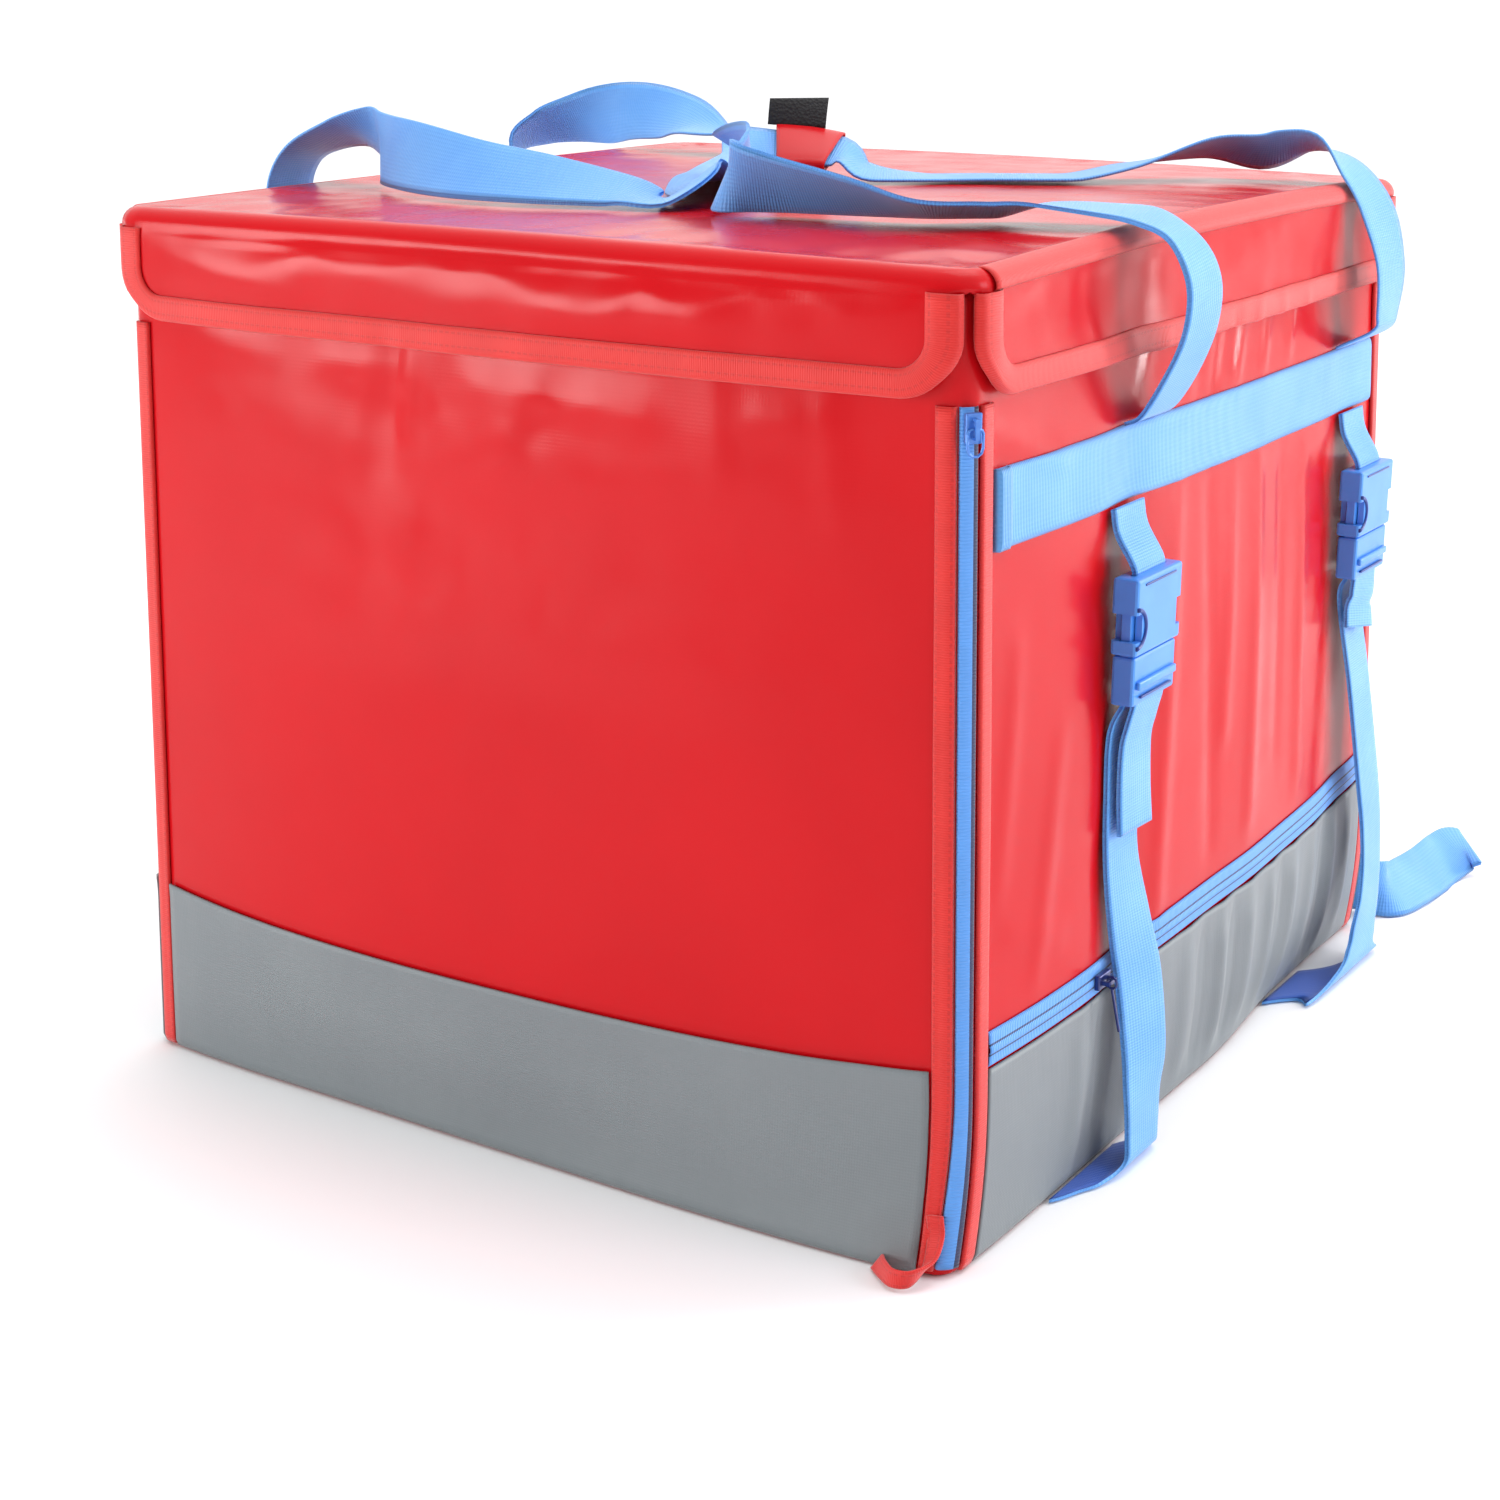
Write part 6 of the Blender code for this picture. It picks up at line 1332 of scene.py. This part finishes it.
def roundedBar(low, high, rounding):
    bm = bmesh.new()
    bmesh.ops.create_cube(bm, size=1.0)
    bmesh.ops.scale(bm, vec=[b - a for a, b in zip(low, high)], verts=bm.verts)
    bmesh.ops.translate(bm, vec=[(a + b) / 2 for a, b in zip(low, high)], verts=bm.verts)
    bmesh.ops.bevel(bm, geom=bm.edges, offset=rounding, segments=3, profile=0.5, material=-1,
                    affect="EDGES")
    return bm


def shadowedOpeningRib(faceX, edgeY, z, sign):
    bm = bmesh.new()
    ring = bmesh.ops.create_circle(bm, segments=12, radius=buckle["ribThick"] / 2)["verts"]
    bmesh.ops.rotate(bm, cent=(0, 0, 0), matrix=Matrix.Rotation(math.pi / 2, 3, "X"), verts=ring)
    bmesh.ops.translate(bm, vec=(0.0, 0.0, buckle["ribRadius"]), verts=ring)
    bmesh.ops.spin(bm, geom=ring + list(bm.edges), cent=(0, 0, 0), axis=(1, 0, 0), steps=20,
                   angle=-sign * math.pi, dvec=(0, 0, 0))
    bmesh.ops.holes_fill(bm, edges=[edge for edge in bm.edges if edge.is_boundary], sides=0)
    bmesh.ops.recalc_face_normals(bm, faces=bm.faces)
    bmesh.ops.translate(bm, vec=(faceX, edgeY, z), verts=bm.verts)
    return bm


for name, sign in (("near", -1), ("far", 1)):
    y = straps["middle"] + sign * straps["spacing"] / 2
    proudX = buckleBack(y) + straps["buckleThick"]
    low = straps["buckleTop"] - straps["buckleLength"]
    half = buckle["slotLong"] / 2
    wide, proud = buckle["slotWide"], buckle["proud"]
    # the slot lines are painted shadow: dark strips where the slots are shaded
    for part, z in (("socket", straps["buckleTop"] - 0.0030), ("plug", low + 0.0048)):
        slotShadowLine = roundedBar((proudX - 0.0012, y - half, z - wide), (proudX + proud, y + half, z),
                              0.0003)
        addDetail(f"buckle_{part}_{name}_slot", slotShadowLine, finishes["slotShade"])
    bar = roundedBar((proudX - 0.0015, y - half - 0.004, low + buckle["barUp"]),
                     (proudX + 2.5 * proud, y + half + 0.004, low + buckle["barUp"] + buckle["barWide"]),
                     0.0008)
    addDetail(f"buckle_plug_{name}_bar", bar, finishes["buckle"])
    # the rib takes the dark finish as the painted shadow of the side opening's edge
    split = straps["buckleTop"] - straps["buckleLength"] * 0.60
    rib = shadowedOpeningRib(proudX, y - buckle["width"] / 2 + 0.0005, split + buckle["openingAt"], 1)
    addDetail(f"buckle_socket_{name}_rib", rib, finishes["slotShade"])

# Loose strap on the floor behind the bag, and the near binding's foot sprung off the panel
rootShare = -straps["floorRoot"] / (bag["width"] / 2 - bag["corner"])
root = skin(back, rootShare, 0.0, bag["webbing"] * 0.54,
            bag["fit"] + baseBand["cloth"] + bag["webbingThick"])
centres = [(root.x + x * bag["webbing"], root.y + y * bag["webbing"], z * bag["webbing"])
           for x, y, z, wx, wy, wz in floorTailRoute]
across = [point[3:] for point in floorTailRoute]
# the -1 side takes the darker webbing copy, painted shade on the underside
strip = webbingBetween(*webbingEdges(centres, across, bag["webbing"]), bag["webbingThick"], -1)
makePiece("floor_tail_webbing", strip, finishes["blueWebbing"], "floor_tail_strap",
          reverse=finishes["webbingPaintedShade"])

corner = skin(front, 1, 0.0, 0.0, 0.0)
centres = [(corner.x + x * bag["webbing"], corner.y + y * bag["webbing"], z * bag["webbing"])
           for x, y, z, wide, deep, up in footCurlRoute]
across = [point[3:] for point in footCurlRoute]
strip = webbingBetween(*webbingEdges(centres, across, 0.010), tape["upright"])
makePiece("front_binding_foot_tape", strip, finishes["redTape"], "front_binding_foot")
print("straps ready")

# Plain pale floor, soft studio light and the photograph's view
studio = {"floor": 30.0, "floorColour": "#F6F6F7", "low": 0.38, "high": 1.02, "away": 0.38, "behind": 2.6}
floorMesh = bmesh.new()
bmesh.ops.create_grid(floorMesh, x_segments=1, y_segments=1, size=studio["floor"])
mesh = bpy.data.meshes.new("floor")
floorMesh.to_mesh(mesh)
floorMesh.free()
mesh.transform(Matrix.Translation((0.0, 0.0, -0.0003)))
floorPiece = bpy.data.objects.new("floor", mesh)
bpy.context.scene.collection.objects.link(floorPiece)
paper, paperTree, paperShader = newFinish("white_backdrop_paper", {
    "Base Color": linear(studio["floorColour"]), "Roughness": 0.8, "Specular IOR Level": 0.2})
mesh.materials.append(paper)

# the room: bright overhead, dimmer low down and on the photographer's side
world = bpy.data.worlds.new("studio")
bpy.context.scene.world = world
world.use_nodes = True
room = world.node_tree
where = addNode(room, "ShaderNodeTexCoord")
parts = addNode(room, "ShaderNodeSeparateXYZ", links={"Vector": where.outputs["Generated"]})
raised = addNode(room, "ShaderNodeMapRange", values={"From Min": 0.0, "From Max": 1.0,
                                                      "To Min": studio["low"], "To Max": studio["high"]},
                 links={"Value": parts.outputs["Z"]})
behind = addNode(room, "ShaderNodeMapRange", values={"From Min": -1.0, "From Max": 1.0,
                                                      "To Min": studio["away"],
                                                      "To Max": studio["behind"]},
                 links={"Value": parts.outputs["Y"]})
level = addNode(room, "ShaderNodeMath", {"operation": "MULTIPLY"},
                links={0: raised.outputs["Result"], 1: behind.outputs["Result"]})
seen = addNode(room, "ShaderNodeLightPath")
backdrop = addNode(room, "ShaderNodeMath", {"operation": "MAXIMUM"},
                   links={0: level.outputs[0], 1: seen.outputs["Is Camera Ray"]})
room.links.new(backdrop.outputs[0], room.nodes["Background"].inputs["Strength"])
room.nodes["Background"].inputs["Color"].default_value = (1.0, 1.0, 1.0, 1.0)

# place, aim, width, height, power in watts, colour
lamps = (
    ("window_front_left", (-1.75, -2.3, 0.72), (-0.1, -0.25, 0.35), 1.3, 0.8, 40.0, "#FFFFFF"),
    ("strip_back_right", (2.6, 2.7, 0.8), (0.25, 0.0, 0.25), 0.4, 1.3, 55.0, "#FFFFFF"),
    ("harness_side", (2.9, 0.5, 1.5), (0.25, 0.0, 0.25), 1.0, 1.0, 19.0, "#F3EEFF"),
    ("top", (0.3, 0.6, 3.0), (0.0, 0.0, 0.45), 1.8, 1.8, 25.0, "#FFFFFF"),
)
for name, place, aim, width, height, power, colour in lamps:
    light = bpy.data.lights.new(name, "AREA")
    light.shape = "RECTANGLE"
    light.size, light.size_y = width, height
    light.energy = power
    light.color = linear(colour)[:3]
    lamp = bpy.data.objects.new(name, light)
    lamp.location = place
    lamp.rotation_euler = (Vector(aim) - Vector(place)).to_track_quat("-Z", "Y").to_euler()
    bpy.context.scene.collection.objects.link(lamp)

view = {"place": (0.7870, -1.3204, 0.6174), "yaw": -0.5560, "pitch": 0.2975, "roll": 0.0043,
        "lens": 64.5}
yaw, pitch, roll = view["yaw"], view["pitch"], view["roll"]
ahead = Vector((math.sin(yaw) * math.cos(pitch), math.cos(yaw) * math.cos(pitch), -math.sin(pitch)))
rightHand = Vector((math.cos(yaw), -math.sin(yaw), 0.0))
overhead = rightHand.cross(ahead)
turned = rightHand * math.cos(roll) + overhead * math.sin(roll)
raised = overhead * math.cos(roll) - rightHand * math.sin(roll)
camera = bpy.data.cameras.new("photo_view")
camera.lens, camera.sensor_width = view["lens"], 36.0
cameraObject = bpy.data.objects.new("photo_view", camera)
cameraObject.matrix_world = Matrix.Translation(view["place"]) @ Matrix(
    (turned, raised, -ahead)).transposed().to_4x4()
bpy.context.scene.collection.objects.link(cameraObject)
bpy.context.scene.camera = cameraObject
bpy.context.scene.view_settings.view_transform = "Standard"
print("studio ready")
